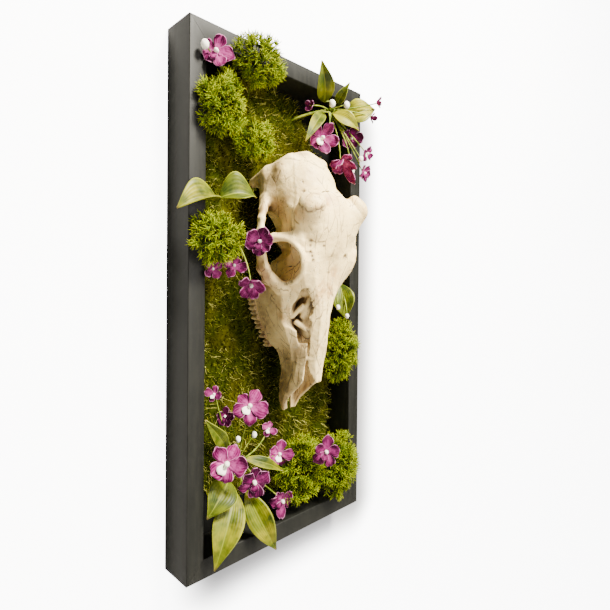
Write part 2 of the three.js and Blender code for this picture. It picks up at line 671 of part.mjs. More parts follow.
// Closed sheet from two matching grids of points: rows run along it, columns across it
function sheet(rows, thick, closed) {
  const columns = rows[0].length;
  const points = [];
  const triangles = [];
  const normals = rows.map((row, i) => row.map((p, j) => {
    const up = rows[Math.min(i + 1, rows.length - 1)][j].clone().sub(rows[Math.max(i - 1, 0)][j]);
    const before = closed ? row[(j + columns - 1) % columns] : row[Math.max(j - 1, 0)];
    const after = closed ? row[(j + 1) % columns] : row[Math.min(j + 1, columns - 1)];
    return after.clone().sub(before).cross(up).normalize();
  }));
  const id = (i, j, layer) => (layer * rows.length + i) * columns + (j % columns);
  [0.5, -0.5].forEach((layer) => rows.forEach((row, i) => row.forEach((p, j) => {
    const q = p.clone().addScaledVector(normals[i][j], layer * thick);
    points.push(q.x, q.y, q.z);
  })));
  const quad = (a, b, c, d) => triangles.push(a, b, c, a, c, d);
  const across = closed ? columns : columns - 1;
  for (let i = 0; i < rows.length - 1; i += 1) {
    for (let j = 0; j < across; j += 1) {
      quad(id(i, j, 0), id(i, j + 1, 0), id(i + 1, j + 1, 0), id(i + 1, j, 0));
      triangles.push(id(i, j, 1), id(i + 1, j + 1, 1), id(i, j + 1, 1));
      triangles.push(id(i, j, 1), id(i + 1, j, 1), id(i + 1, j + 1, 1));
    }
  }
  const last = rows.length - 1;
  for (let j = 0; j < across; j += 1) {
    quad(id(0, j, 1), id(0, j + 1, 1), id(0, j + 1, 0), id(0, j, 0));
    quad(id(last, j, 0), id(last, j + 1, 0), id(last, j + 1, 1), id(last, j, 1));
  }
  if (!closed) {
    for (let i = 0; i < last; i += 1) {
      quad(id(i, 0, 1), id(i, 0, 0), id(i + 1, 0, 0), id(i + 1, 0, 1));
      quad(id(i, across, 0), id(i, across, 1), id(i + 1, across, 1), id(i + 1, across, 0));
    }
  }
  const solid = solidFrom(points, triangles);
  if (solid.volume() > 0) return solid;
  for (let t = 0; t < triangles.length; t += 3) {
    [triangles[t + 1], triangles[t + 2]] = [triangles[t + 2], triangles[t + 1]];
  }
  return solidFrom(points, triangles);
}

// Leaf from base to tip, width across, facing a direction [x, out, z], bowed by bend
function leaf({ base, tip, width, face, bend = 6 }, pad = 0) {
  const a = at(base);
  const b = at(tip);
  const run = b.clone().sub(a);
  const normal = at(face).normalize();
  const side = run.clone().cross(normal).normalize();
  const out = side.clone().cross(run).normalize();
  if (out.dot(normal) < 0) out.negate();
  const rows = [];
  const steps = 4;
  for (let i = 0; i <= steps; i += 1) {
    const s = i / steps;
    const half = 0.7 + pad + (width / 2) * Math.sin(Math.PI * s ** 0.75) ** 0.8;
    const middle = a.clone().addScaledVector(run, s).addScaledVector(out, bend * 4 * s * (1 - s));
    rows.push([-1, 0, 1].map((k) => middle.clone()
      .addScaledVector(side, k * half)
      .addScaledVector(out, Math.abs(k) * half * 0.25)));
  }
  return sheet(rows, LEAF_THICK + 2 * pad, false);
}

// Flower: one cupped sheet whose edge is cut into petals, with a calyx behind it
function flower({ place, face, radius, petals = 5, cup = 0.3 }, pad = 0) {
  const centre = at(place);
  const normal = at(face).normalize();
  const turn = new THREE.Quaternion().setFromUnitVectors(new THREE.Vector3(0, 0, 1), normal);
  const reach = radius + pad;
  const rows = [0.12, 1].map((t) => {
    const row = [];
    for (let j = 0; j < PETAL_SAMPLES; j += 1) {
      const angle = (j / PETAL_SAMPLES) * 2 * Math.PI;
      const lobe = 1 - 0.28 * t * (0.5 + 0.5 * Math.cos(petals * angle));
      const p = new THREE.Vector3(Math.cos(angle), Math.sin(angle), 0).multiplyScalar(reach * t * lobe);
      p.z = cup * radius * t * t;
      row.push(p.applyQuaternion(turn).add(centre));
    }
    return row;
  });
  const back = centre.clone().addScaledVector(normal, -0.45 * radius);
  const from = [back.x, -back.y, back.z];
  const heart = centre.clone().addScaledVector(normal, 0.12 * radius);
  const to = [heart.x, -heart.y, heart.z];
  const calyx = rod(from, to, 1.2 + pad, 0.24 * radius + pad);
  return sheet(rows, PETAL_THICK + 2 * pad, true).add(calyx);
}

// Fern: a stalk from the moss, or from another burst, and a burst of tapered fronds away from the wall
function fern({ root, place, reach, fronds }) {
  const golden = Math.PI * (3 - Math.sqrt(5));
  const core = 0.36 * Math.min(...reach);
  const start = root.length === 3 ? root : [root[0], 0, root[1]];
  const pieces = [bead(place, core), rod(start, place, 3.5, 2.5)];
  for (let i = 0; i < fronds; i += 1) {
    const out = 0.04 + (0.92 * i) / fronds;
    const flat = Math.sqrt(1 - out * out);
    const angle = i * golden;
    const tip = [
      place[0] + reach[0] * flat * Math.cos(angle),
      place[1] + reach[1] * out,
      place[2] + reach[2] * flat * Math.sin(angle),
    ];
    pieces.push(spoke(place, tip, 0.6 * core, 0.06 * (reach[0] + reach[2]), 0.5));
  }
  return together(pieces).intersect(inFront);
}

const TO_VIEWER = [-0.7, 0.7, 0];
const FLOWERS = [
  { name: 'flower_top_left', place: [-96.7, 47.7, 224.5], face: TO_VIEWER, radius: 15, spray: 'top_left' },
  { name: 'flower_top_right_1', place: [45, 44.7, 181], face: [-0.3, 0.9, -0.2], radius: 16, spray: 'top_right' },
  { name: 'flower_top_right_2', place: [87, 51.7, 189], face: [-0.4, 0.8, -0.3], radius: 13, spray: 'top_right' },
  { name: 'flower_top_right_3', place: [66.7, 53.7, 158], face: [-0.3, 0.5, -0.8], radius: 15, spray: 'top_right' },
  { name: 'flower_top_right_4', place: [100.2, 64.7, 171.7], face: [0, 0.9, -0.4], radius: 9, spray: 'top_right' },
  { name: 'flower_top_right_5', place: [98.9, 61.7, 148.5], face: [0.1, 0.9, -0.2], radius: 10, spray: 'top_right' },
  { name: 'flower_middle_upper', place: [-65, 71, 56], face: TO_VIEWER, radius: 13, spray: 'middle_left' },
  { name: 'flower_middle_side', place: [-97.5, 44.7, 29.7], face: [-0.5, 0.9, 0], radius: 8, spray: 'middle_left' },
  { name: 'flower_middle_inner', place: [-76.4, 47.7, 33], face: [-0.5, 0.9, 0.3], radius: 9, spray: 'middle_left' },
  { name: 'flower_middle_lower', place: [-61.7, 54.7, 16.4], face: [-0.4, 0.7, -0.6], radius: 14, spray: 'middle_left' },
  { name: 'flower_low_1', place: [-88, 34.7, -87.8], face: TO_VIEWER, radius: 6, spray: 'low_left' },
  { name: 'flower_low_2', place: [-58.4, 49.7, -100.8], face: [-0.5, 0.8, 0.3], radius: 16, spray: 'low_left' },
  { name: 'flower_low_3', place: [-76, 35, -110], face: TO_VIEWER, radius: 8, spray: 'low_left' },
  { name: 'flower_low_4', place: [-22.3, 34.7, -134], face: [-0.3, 0.9, 0.3], radius: 7, spray: 'low_left' },
  { name: 'flower_low_5', place: [-6.7, 34.7, -164], face: [-0.4, 0.8, 0.2], radius: 13, spray: 'low_left' },
  { name: 'flower_low_6', place: [-87, 53.7, -147], face: [-0.6, 0.8, 0], radius: 18, spray: 'low_left' },
  { name: 'flower_low_7', place: [-50.7, 47.7, -176], face: [-0.4, 0.8, -0.2], radius: 13, spray: 'low_left' },
  { name: 'flower_low_8', place: [0, 33, -216], face: [-0.4, 0.8, -0.2], radius: 14, spray: 'low_left' },
  { name: 'flower_low_right', place: [33, 66, -163], face: [-0.6, 0.8, 0.1], radius: 15, spray: 'none' },
];

const SPRAYS = {
  top_left: { root: [-60, 200], hub: [-70, 30, 212], beads: [[[-109.2, 47.7, 226.9], 5]], leaves: [] },
  top_right: {
    root: [30, 205],
    hub: [62, 38, 218],
    beads: [[[109.7, 74.7, 230.5], 6.5], [[105, 69.7, 212.5], 5.5], [[25.4, 44.7, 211.5], 6], [[49, 56, 217.4], 5.5],
      [[75.8, 54, 223.7], 5.5], [[77, 61.7, 147], 4.5], [[88, 66, 162], 4]],
    leaves: [
      { base: [52, 41, 224], tip: [25.8, 61.7, 254.8], width: 20, face: [-0.6, 0.7, 0.3] },
      { base: [72, 42, 226], tip: [68.4, 64.7, 243.8], width: 9, face: [-0.6, 0.7, 0] },
      { base: [82, 46, 212], tip: [114, 66, 226], width: 28, face: [-0.5, 0.8, 0.2] },
      { base: [64, 43, 214], tip: [89.5, 61.7, 196], width: 15, face: [-0.6, 0.7, 0.2] },
      { base: [50, 42, 212], tip: [11.9, 51.7, 168.5], width: 12, face: [-0.6, 0.7, 0] },
    ],
  },
  middle_left: {
    root: [-62, 52],
    hub: [-60, 22, 66],
    beads: [],
    leaves: [
      { base: [-91, 42, 92], tip: [-133.5, 44, 80.5], width: 30, face: [-0.2, 1, 0.3], bend: 5 },
      { base: [-90, 42, 95], tip: [-54, 52, 99], width: 28, face: [-0.5, 0.8, 0.3], bend: 6 },
      { base: [-63, 44, 76], tip: [-70, 52, 40], width: 18, face: [-0.7, -0.4, 0], bend: 3 },
    ],
  },
  right: {
    root: [84, 30],
    hub: [86, 34, 22],
    beads: [[[63.5, 54.7, -9], 3.4], [[79.5, 54.7, -19.5], 3.4]],
    leaves: [{ base: [86, 38, 18], tip: [88, 46, -24], width: 26, face: TO_VIEWER, bend: 7 }],
  },
  low_left: {
    root: [-50, -170],
    hub: [-58, 30, -160],
    beads: [[[-66, 42, -133], 3.5], [[-48, 44, -132], 4]],
    leaves: [
      { base: [-74.9, 34, -141], tip: [-103, 42, -107], width: 13, face: [-0.4, 0.9, 0.3] },
      { base: [-52, 31, -158], tip: [-9.9, 45, -178], width: 10, face: [-0.4, 0.7, 0.6] },
      { base: [-72, 36, -172], tip: [-103, 46, -196], width: 28, face: [-0.5, 0.8, 0.2] },
      { base: [-64, 36, -186], tip: [-100, 54, -241], width: 28, face: [-0.5, 0.8, 0.2], bend: 8 },
      { base: [-50, 34, -190], tip: [-28.4, 56, -249], width: 24, face: [-0.5, 0.8, 0.1], bend: 8 },
    ],
  },
};

const FERNS = {
  top_outer: [{ root: [-30, 210], place: [-55, 56, 228], reach: [29, 22, 26], fronds: 13 }],
  top_left: [{ root: [-70, 170], place: [-91, 47, 180], reach: [25, 16, 31], fronds: 13 }],
  top_inner: [{ root: [-30, 158], place: [-41, 34, 163], reach: [25, 12, 22], fronds: 11 }],
  middle_left: [{ root: [-92, 66], place: [-99, 54, 57], reach: [29, 15, 25], fronds: 12 }],
  right: [{ root: [76, -58], place: [81, 45, -61], reach: [26, 20, 38], fronds: 13 }],
  low_right: [
    { root: [44, -190], place: [24, 34, -188], reach: [34, 24, 38], fronds: 13 },
    { root: [24, 34, -188], place: [70, 51, -191], reach: [34, 18, 38], fronds: 13 },
  ],
};

function makePlants() {
  const flowers = FLOWERS.map((item) => ({ ...item, solid: flower(item), clear: flower(item, GAP) }));
  const sprays = Object.entries(SPRAYS).map(([name, { root, hub, beads, leaves }]) => {
    const stems = [rod([root[0], 0, root[1]], hub, 3, 2.4), bead(hub, HUB)];
    flowers.filter((item) => item.spray === name).forEach(({ place, face, radius }) => {
      const back = at(place).addScaledVector(at(face).normalize(), -0.4 * radius);
      stems.push(spoke(hub, [back.x, -back.y, back.z], 0.7 * HUB, 1.3, 1.1));
    });
    beads.forEach(([place, radius]) => stems.push(spoke(hub, place, 0.7 * HUB, 1.3, 0.9), bead(place, radius)));
    leaves.forEach((item) => stems.push(spoke(hub, item.base, 0.7 * HUB, 1.3, 1.2), leaf(item)));
    const clears = flowers.map((item) => item.clear);
    return { name: `spray_${name}`, solid: together(stems).intersect(inFront).subtract(together(clears)) };
  });
  flowers.forEach(({ name, solid }) => addNode(name, solid, PETAL));
  sprays.forEach(({ name, solid }) => addNode(name, solid, LEAF));
  const lowFlower = flowers.find(({ name }) => name === 'flower_low_right');
  Object.entries(FERNS).forEach(([name, bursts]) => {
    const solid = together(bursts.map(fern)).subtract(lowFlower.clear);
    addNode(`fern_${name}`, solid, FERN);
  });
}

const inner = makeFrame();
makeMoss(inner);
makeSkull();
makePlants();

export default part;
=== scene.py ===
# %% [markdown]
# # A deer skull in a deep black frame
# The real thing hangs on a wall: an open black box frame, a mat of dried moss on its back board,
# a deer skull nose down in the middle, and cloth ferns, leaves and orchids round it.
# The imported model gives every place, so the first step is to load it.

# %% Load the frame
import math

import bpy
import numpy as np
from mathutils import Matrix, Vector


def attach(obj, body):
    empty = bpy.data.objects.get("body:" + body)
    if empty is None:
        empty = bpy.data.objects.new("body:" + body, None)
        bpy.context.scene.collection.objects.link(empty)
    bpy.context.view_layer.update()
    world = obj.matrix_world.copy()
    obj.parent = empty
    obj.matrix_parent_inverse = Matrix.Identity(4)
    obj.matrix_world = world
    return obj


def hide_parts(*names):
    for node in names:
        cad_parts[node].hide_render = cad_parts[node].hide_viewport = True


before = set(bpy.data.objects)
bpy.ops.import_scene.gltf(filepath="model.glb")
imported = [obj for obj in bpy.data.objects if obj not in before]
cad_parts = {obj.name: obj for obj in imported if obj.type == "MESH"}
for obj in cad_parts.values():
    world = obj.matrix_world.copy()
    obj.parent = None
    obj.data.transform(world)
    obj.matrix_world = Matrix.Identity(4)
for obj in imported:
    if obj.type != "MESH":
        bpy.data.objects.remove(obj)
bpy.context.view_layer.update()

MM = 0.001


# %% [markdown]
# A mesh is points and faces. Everything here is worked out in millimetres with numpy, and one helper
# turns the result into a Blender mesh in metres. The object stays at the origin, so that its pattern
# and its place can't drift apart. Values per point go in as attributes that a material can read.

# %% Mesh helpers
def make_object(name, points, faces, smooth=True, values=None):
    mesh = bpy.data.meshes.new(name)
    points = np.asarray(points, float)
    faces = [np.asarray(f, int) for f in (faces if isinstance(faces, list) else [faces]) if len(f)]
    mesh.vertices.add(len(points))
    mesh.vertices.foreach_set("co", (points * MM).ravel())
    sizes = np.concatenate([np.full(len(f), f.shape[1]) for f in faces])
    mesh.loops.add(int(sizes.sum()))
    mesh.loops.foreach_set("vertex_index", np.concatenate([f.ravel() for f in faces]))
    mesh.polygons.add(len(sizes))
    mesh.polygons.foreach_set("loop_start", np.concatenate([[0], np.cumsum(sizes)[:-1]]))
    mesh.polygons.foreach_set("use_smooth", np.full(len(sizes), smooth))
    mesh.update(calc_edges=True)
    for key, value in (values or {}).items():
        mesh.attributes.new(key, "FLOAT", "POINT").data.foreach_set("value", np.asarray(value, float))
    mesh.validate()
    piece = bpy.data.objects.new(name, mesh)
    bpy.context.scene.collection.objects.link(piece)
    return piece


def dress(piece, material, slot, *nodes):
    piece.data.materials.clear()
    piece.data.materials.append(material)
    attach(piece, "root")
    if nodes:
        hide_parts(*nodes)
    print(piece.name, len(piece.data.polygons), "faces")
    return piece


def unit(vector):
    vector = np.asarray(vector, float)
    return vector / np.linalg.norm(vector, axis=-1, keepdims=True)


# %% [markdown]
# The camera stands to the left of the frame and a little above its middle, about half a metre away,
# which is why the near left rail looks so much taller than the far right one. Its place and focal
# length come from the frame's corners and the skull's markings, in pixels of a 610 pixel square.

# %% Camera
IMAGE = 610
FOCAL = 461.633
OPTICAL_AXIS = (305, 291)
SENSOR = 36
CAMERA_PLACE = np.array([-333.01, -400.50, 15.20])
CAMERA_RIGHT = unit([0.70968, -0.70447, 0.00869])
CAMERA_FORWARD = unit([0.70452, 0.70959, -0.01125])
CAMERA_UP = unit(np.cross(CAMERA_RIGHT, CAMERA_FORWARD))

camera = bpy.data.objects.new("camera", bpy.data.cameras.new("camera"))
bpy.context.scene.collection.objects.link(camera)
camera.data.sensor_width = SENSOR
camera.data.lens = SENSOR * FOCAL / IMAGE
camera.data.shift_x = (IMAGE / 2 - OPTICAL_AXIS[0]) / IMAGE
camera.data.shift_y = (OPTICAL_AXIS[1] - IMAGE / 2) / IMAGE
camera.data.clip_start = 0.01
turn = Matrix((CAMERA_RIGHT, CAMERA_UP, -CAMERA_FORWARD)).transposed().to_4x4()
camera.matrix_world = Matrix.Translation(Vector(CAMERA_PLACE * MM)) @ turn
bpy.context.scene.camera = camera


# %% [markdown]
# A material is a small network of nodes. A few helpers keep each network short: one adds a node and
# feeds it, one mixes two colours by a mask, and one turns a number into a mask between two limits.

# %% Node helpers
class Shade:
    """One material: a principled shader, the object's own coordinates, and short calls that add nodes."""

    def __init__(self, name, roughness=0.6, **constant):
        self.material = bpy.data.materials.new(name)
        self.material.use_nodes = True
        self.tree = self.material.node_tree
        self.shader = self.tree.nodes["Principled BSDF"]
        self.shader.inputs["Roughness"].default_value = roughness
        for key, value in constant.items():
            self.shader.inputs[key.replace("_", " ")].default_value = value
        self.place = self.node("ShaderNodeTexCoord").outputs["Object"]

    def node(self, kind, *, settings=(), **inputs):
        made = self.tree.nodes.new(kind)
        for key, value in dict(settings).items():
            setattr(made, key, value)
        for key, value in inputs.items():
            socket = made.inputs[int(key[1:])] if key[0] == "_" else made.inputs[key.replace("_", " ")]
            self.feed(socket, value)
        return made

    def feed(self, socket, value):
        if isinstance(value, bpy.types.NodeSocket):
            self.tree.links.new(value, socket)
        elif isinstance(value, tuple) and socket.type == "RGBA":
            socket.default_value = (*value[:3], 1)
        else:
            socket.default_value = value

    def math(self, operation, a, b=0.0, clamp=False):
        settings = {"operation": operation, "use_clamp": clamp}
        return self.node("ShaderNodeMath", settings=settings, _0=a, _1=b).outputs[0]

    def noise(self, size_mm, detail=3.0, rough=0.55, stretch=(1, 1, 1), distortion=0.0):
        moved = self.node("ShaderNodeMapping", Vector=self.place, Scale=stretch).outputs[0]
        made = self.node("ShaderNodeTexNoise", Vector=moved, Scale=1 / (size_mm * MM), Detail=detail,
                         Roughness=rough, Distortion=distortion)
        return made.outputs["Fac"]

    def cells(self, size_mm, feature="F1", stretch=(1, 1, 1), output="Distance"):
        moved = self.node("ShaderNodeMapping", Vector=self.place, Scale=stretch).outputs[0]
        made = self.node("ShaderNodeTexVoronoi", settings={"feature": feature}, Vector=moved,
                         Scale=1 / (size_mm * MM))
        return made.outputs[output]

    def mask(self, value, low, high):
        """0 below low, 1 above high; the limits may be the other way round."""
        made = self.node("ShaderNodeMapRange", Value=value, From_Min=low, From_Max=high)
        made.interpolation_type = "SMOOTHSTEP"
        return made.outputs[0]

    def mix(self, a, b, mask, blend="MIX"):
        made = self.tree.nodes.new("ShaderNodeMix")
        made.data_type = "RGBA"
        made.blend_type = blend
        for index, value in ((0, mask), (6, a), (7, b)):
            self.feed(made.inputs[index], value)
        return made.outputs[2]

    def cover(self, colour, coat, mask, share):
        """A coat over a colour where the mask is high, at most as strong as its share."""
        return self.mix(colour, coat, self.math("MULTIPLY", mask, share))

    def value(self, name):
        return self.node("ShaderNodeAttribute", settings={"attribute_name": name}).outputs["Fac"]

    def bump(self, height, depth_mm, strength=1.0):
        before = self.shader.inputs["Normal"].links
        made = self.node("ShaderNodeBump", Height=height, Distance=depth_mm * MM, Strength=strength)
        if before:
            self.tree.links.new(before[0].from_socket, made.inputs["Normal"])
        self.tree.links.new(made.outputs[0], self.shader.inputs["Normal"])

    def finish(self, colour, roughness=None):
        self.feed(self.shader.inputs["Base Color"], colour)
        if roughness is not None:
            self.feed(self.shader.inputs["Roughness"], roughness)
        return self.material


# %% [markdown]
# The wall is the only background, as in a plain product picture: nearly white, with a soft grey painted
# shadow to the right of the frame and below it. It glows a little for the camera, and the painted
# shadow is a dip in that glow and a darker grey in the wall's colour. From behind it is see-through, or
# the back of the frame could never be looked at.
# A pale floor lies far below, outside the main view.

# %% Wall and floor
SHADOW_CENTRE = (51.0, -24.0)
SHADOW_HALF = (106.0, 250.0)
SHADOW_SOFT = 64.0
SHADOW_GLOW = 0.35  # what is left of the glow in the middle of the shadow
WALL_GLOW = 9.0
STAGE_REACH = 6000
WALL_BEHIND = 1
FLOOR_DROP = 1350


def shadow_mask(shade):
    """0 in the middle of the painted shadow, 1 on the clear wall, from the distance to a rectangle."""
    spot = shade.node("ShaderNodeSeparateXYZ", Vector=shade.place).outputs
    squares = []
    for axis, centre, half in zip(("X", "Z"), SHADOW_CENTRE, SHADOW_HALF):
        away = shade.math("ABSOLUTE", shade.math("SUBTRACT", shade.math("DIVIDE", spot[axis], MM), centre))
        beyond = shade.math("MAXIMUM", shade.math("SUBTRACT", away, half), 0.0)
        squares.append(shade.math("MULTIPLY", beyond, beyond))
    return shade.mask(shade.math("SQRT", shade.math("ADD", *squares)), 0.0, SHADOW_SOFT)


def wall_material():
    shade = Shade("pale_wall", roughness=1.0)
    tree = shade.tree
    open_wall = shadow_mask(shade)
    # painted shadow: the wall's grey is darker inside the shadow
    shade.finish(shade.mix((0.16, 0.16, 0.18), (0.45, 0.45, 0.45), open_wall))
    clear = tree.nodes.new("ShaderNodeBsdfTransparent")
    behind = tree.nodes.new("ShaderNodeNewGeometry").outputs["Backfacing"]
    seen = shade.node("ShaderNodeLightPath").outputs["Is Camera Ray"]
    steep = shade.math("POWER", open_wall, 2.2)
    bright = shade.math("ADD", shade.math("MULTIPLY", steep, WALL_GLOW - SHADOW_GLOW), SHADOW_GLOW)
    strength = shade.math("MULTIPLY", seen, bright)
    glow = shade.node("ShaderNodeEmission", Color=(1, 1, 1), Strength=strength).outputs[0]
    lit = shade.node("ShaderNodeAddShader", _0=shade.shader.outputs[0], _1=glow).outputs[0]
    both = shade.node("ShaderNodeMixShader", _0=behind, _1=lit, _2=clear.outputs[0]).outputs[0]
    tree.links.new(both, tree.nodes["Material Output"].inputs["Surface"])
    return shade.material


def stage_plane(name, material, place):
    """One big square, whose four corners a function gives from two signs."""
    corners = [place(a, b) for a, b in ((-1, -1), (1, -1), (1, 1), (-1, 1))]
    plane = make_object(name, corners, np.array([[0, 1, 2, 3]]), smooth=False)
    plane.data.materials.append(material)
    return plane


floor_finish = Shade("pale_floor", roughness=1.0).finish((0.8, 0.79, 0.77))
wall = stage_plane("stage_wall", wall_material(),
                   lambda a, b: (a * STAGE_REACH, WALL_BEHIND, b * STAGE_REACH))
floor = stage_plane("stage_floor", floor_finish,
                    lambda a, b: (a * STAGE_REACH, b * STAGE_REACH, -FLOOR_DROP))


# %% [markdown]
# The light comes from the front and from above, a little from the right: the left side of the frame
# stays dark and the skull's left side falls into gentle shade. A small warm panel is the key and draws
# the edges, a large weak one fills from straight ahead, and a dim white world opens the hollows.

# %% Lights
def add_panel(name, place, aim, size_m, watts, colour=(1, 1, 1)):
    data = bpy.data.lights.new(name, "AREA")
    data.shape = "SQUARE"
    data.size = size_m
    data.energy = watts
    data.color = colour
    light = bpy.data.objects.new(name, data)
    bpy.context.scene.collection.objects.link(light)
    light.location = Vector(place) * MM
    light.rotation_mode = "QUATERNION"
    light.rotation_quaternion = (Vector(aim) * MM - light.location).to_track_quat("-Z", "Y")


add_panel("key_light", (150, -1050, 1200), (0, -40, 20), 0.35, 180, (1, 0.95, 0.83))
add_panel("fill_light", (200, -1300, 100), (0, -40, 0), 0.9, 20, (1, 0.95, 0.88))
world = bpy.data.worlds.new("studio")
bpy.context.scene.world = world
world.use_nodes = True
world.node_tree.nodes["Background"].inputs["Color"].default_value = (1, 1, 1, 1)
world.node_tree.nodes["Background"].inputs["Strength"].default_value = 0.13


# %% [markdown]
# ## The skull
# Bone has no flat faces and no single outline, so it is described as a field: a function that gives,
# for any point, how far it is from the surface, with a minus sign inside. Balls, tapered rods, bars,
# rings and lofted sections are added and cut one after another, and each join can be rounded.
# The skull's own frame is u to the side, v out of its roof and w towards the nose, in millimetres.

# %% Skull frame and section tables
SKULL_AXES = np.array([
    [0.99864, -0.01228, -0.0507],
    [0.01771, 0.99397, 0.10818],
    [0.04907, -0.10893, 0.99284],
])
SKULL_CREST = np.array([-0.99, 3.82, 146.84])
SKULL_LOW = np.array([-66.0, -12.0, -8.0])
SKULL_HIGH = np.array([66.0, 122.0, 276.0])
SKULL_CELL = 1.0

# w, height on the middle line, shoulder (u, v), edge (u, v)
ROOF = np.array([
    [60, 103, 20, 100, 33, 90],
    [85, 101, 24, 97, 37, 87],
    [100, 95, 26, 93, 38, 86],
    [117, 88.5, 28, 89, 41, 86],
    [131, 82.5, 22, 83.5, 33, 79],
    [143, 79, 16, 78.5, 25, 73],
    [155, 77, 11, 75.5, 18, 69.5],
    [168, 74.5, 7.5, 72.5, 13.5, 66.5],
    [182, 71.5, 6.5, 69, 12.5, 60],
    [200, 66.5, 6.5, 64, 12, 54.5],
    [220, 59.5, 6.5, 56.5, 11, 48.5],
    [238, 53.5, 3, 53, 5, 51],
], float)
# w, side (u, v), tooth bed (u, v), height of the palate
SNOUT = np.array([
    [80, 34, 62, 26, 30, 26],
    [100, 28, 60, 22, 30, 26],
    [118, 26, 60, 25, 20, 14],
    [128, 31, 60, 29, 12, 12],
    [136, 38, 55, 34, 2.5, 11],
    [146, 37, 50, 34.5, 0.5, 11],
    [158, 34.5, 46, 32.5, 0.5, 11],
    [170, 31, 42, 29.5, 0.5, 11],
    [180, 28, 40, 26, 0.5, 11],
    [192, 23, 38, 21, 1.5, 11],
    [202, 18.5, 35, 14.5, 8, 11],
    [214, 15.5, 32, 12, 9.5, 10],
], float)
# w, rim (u, v), side (u, v), lower edge (u, v), height of the floor at the middle
TIP = np.array([
    [196, 12, 55, 17, 42, 13.5, 9, 9],
    [212, 12.3, 51.5, 15.3, 40, 11.5, 9.5, 8],
    [226, 13.4, 48, 15.5, 35, 10.8, 8.5, 6],
    [234, 14, 45, 15.6, 30, 11.5, 6, 5],
    [242, 14.2, 37, 15.6, 22, 12, 4.5, 4.4],
    [250, 13.2, 24.5, 14.8, 15, 12, 2.8, 3.8],
    [258, 11.8, 13, 13.2, 9, 11, 0.8, 2.4],
    [269, 8, 5.4, 9.2, 4, 8, 0.6, 1.2],
], float)


def row_at(rows, w):
    return np.array([np.interp(w, rows[:, 0], rows[:, k]) for k in range(rows.shape[1])])


def face_sections():
    sections = []
    for w, side_u, side_v, bed_u, bed_v, palate in SNOUT:
        _, top, u1, v1, u2, v2 = row_at(ROOF, w)
        outline = [(0, top), (u1, v1), (u2, v2), (side_u, side_v), (bed_u, bed_v), (bed_u - 8, palate + 2)]
        sections.append((w, outline + [(0, palate)]))
    return sections


def nasal_sections():
    thick = 4.4
    return [
        (w, [(0, top), (u1, v1), (u2, v2), (u2 - 3.4, v2 + 1), (u1 - 2, v1 - 4), (0, top - thick)])
        for w, top, u1, v1, u2, v2 in ROOF if w >= 143
    ]


def tip_sections():
    wall = 3
    sections = []
    for w, rim_u, rim_v, side_u, side_v, low_u, low_v, floor in TIP:
        slit = 0 if w < 230 else 2.6
        inner = max(low_u - wall, slit + 2)
        sections.append((w, [
            (rim_u, rim_v), (side_u, side_v), (low_u, low_v), (slit, floor), (slit, floor + wall),
            (inner, low_v + wall), (side_u - wall, side_v - 1), (rim_u - 2, rim_v - wall),
        ]))
    return sections


# %% [markdown]
# The list below is the skull, from the brain case to the tip of the nose. Each row says whether the
# form is added or cut, how widely its join is rounded, its kind and its sizes. Both halves come from
# one list, because the field takes the distance from the middle line without its sign.

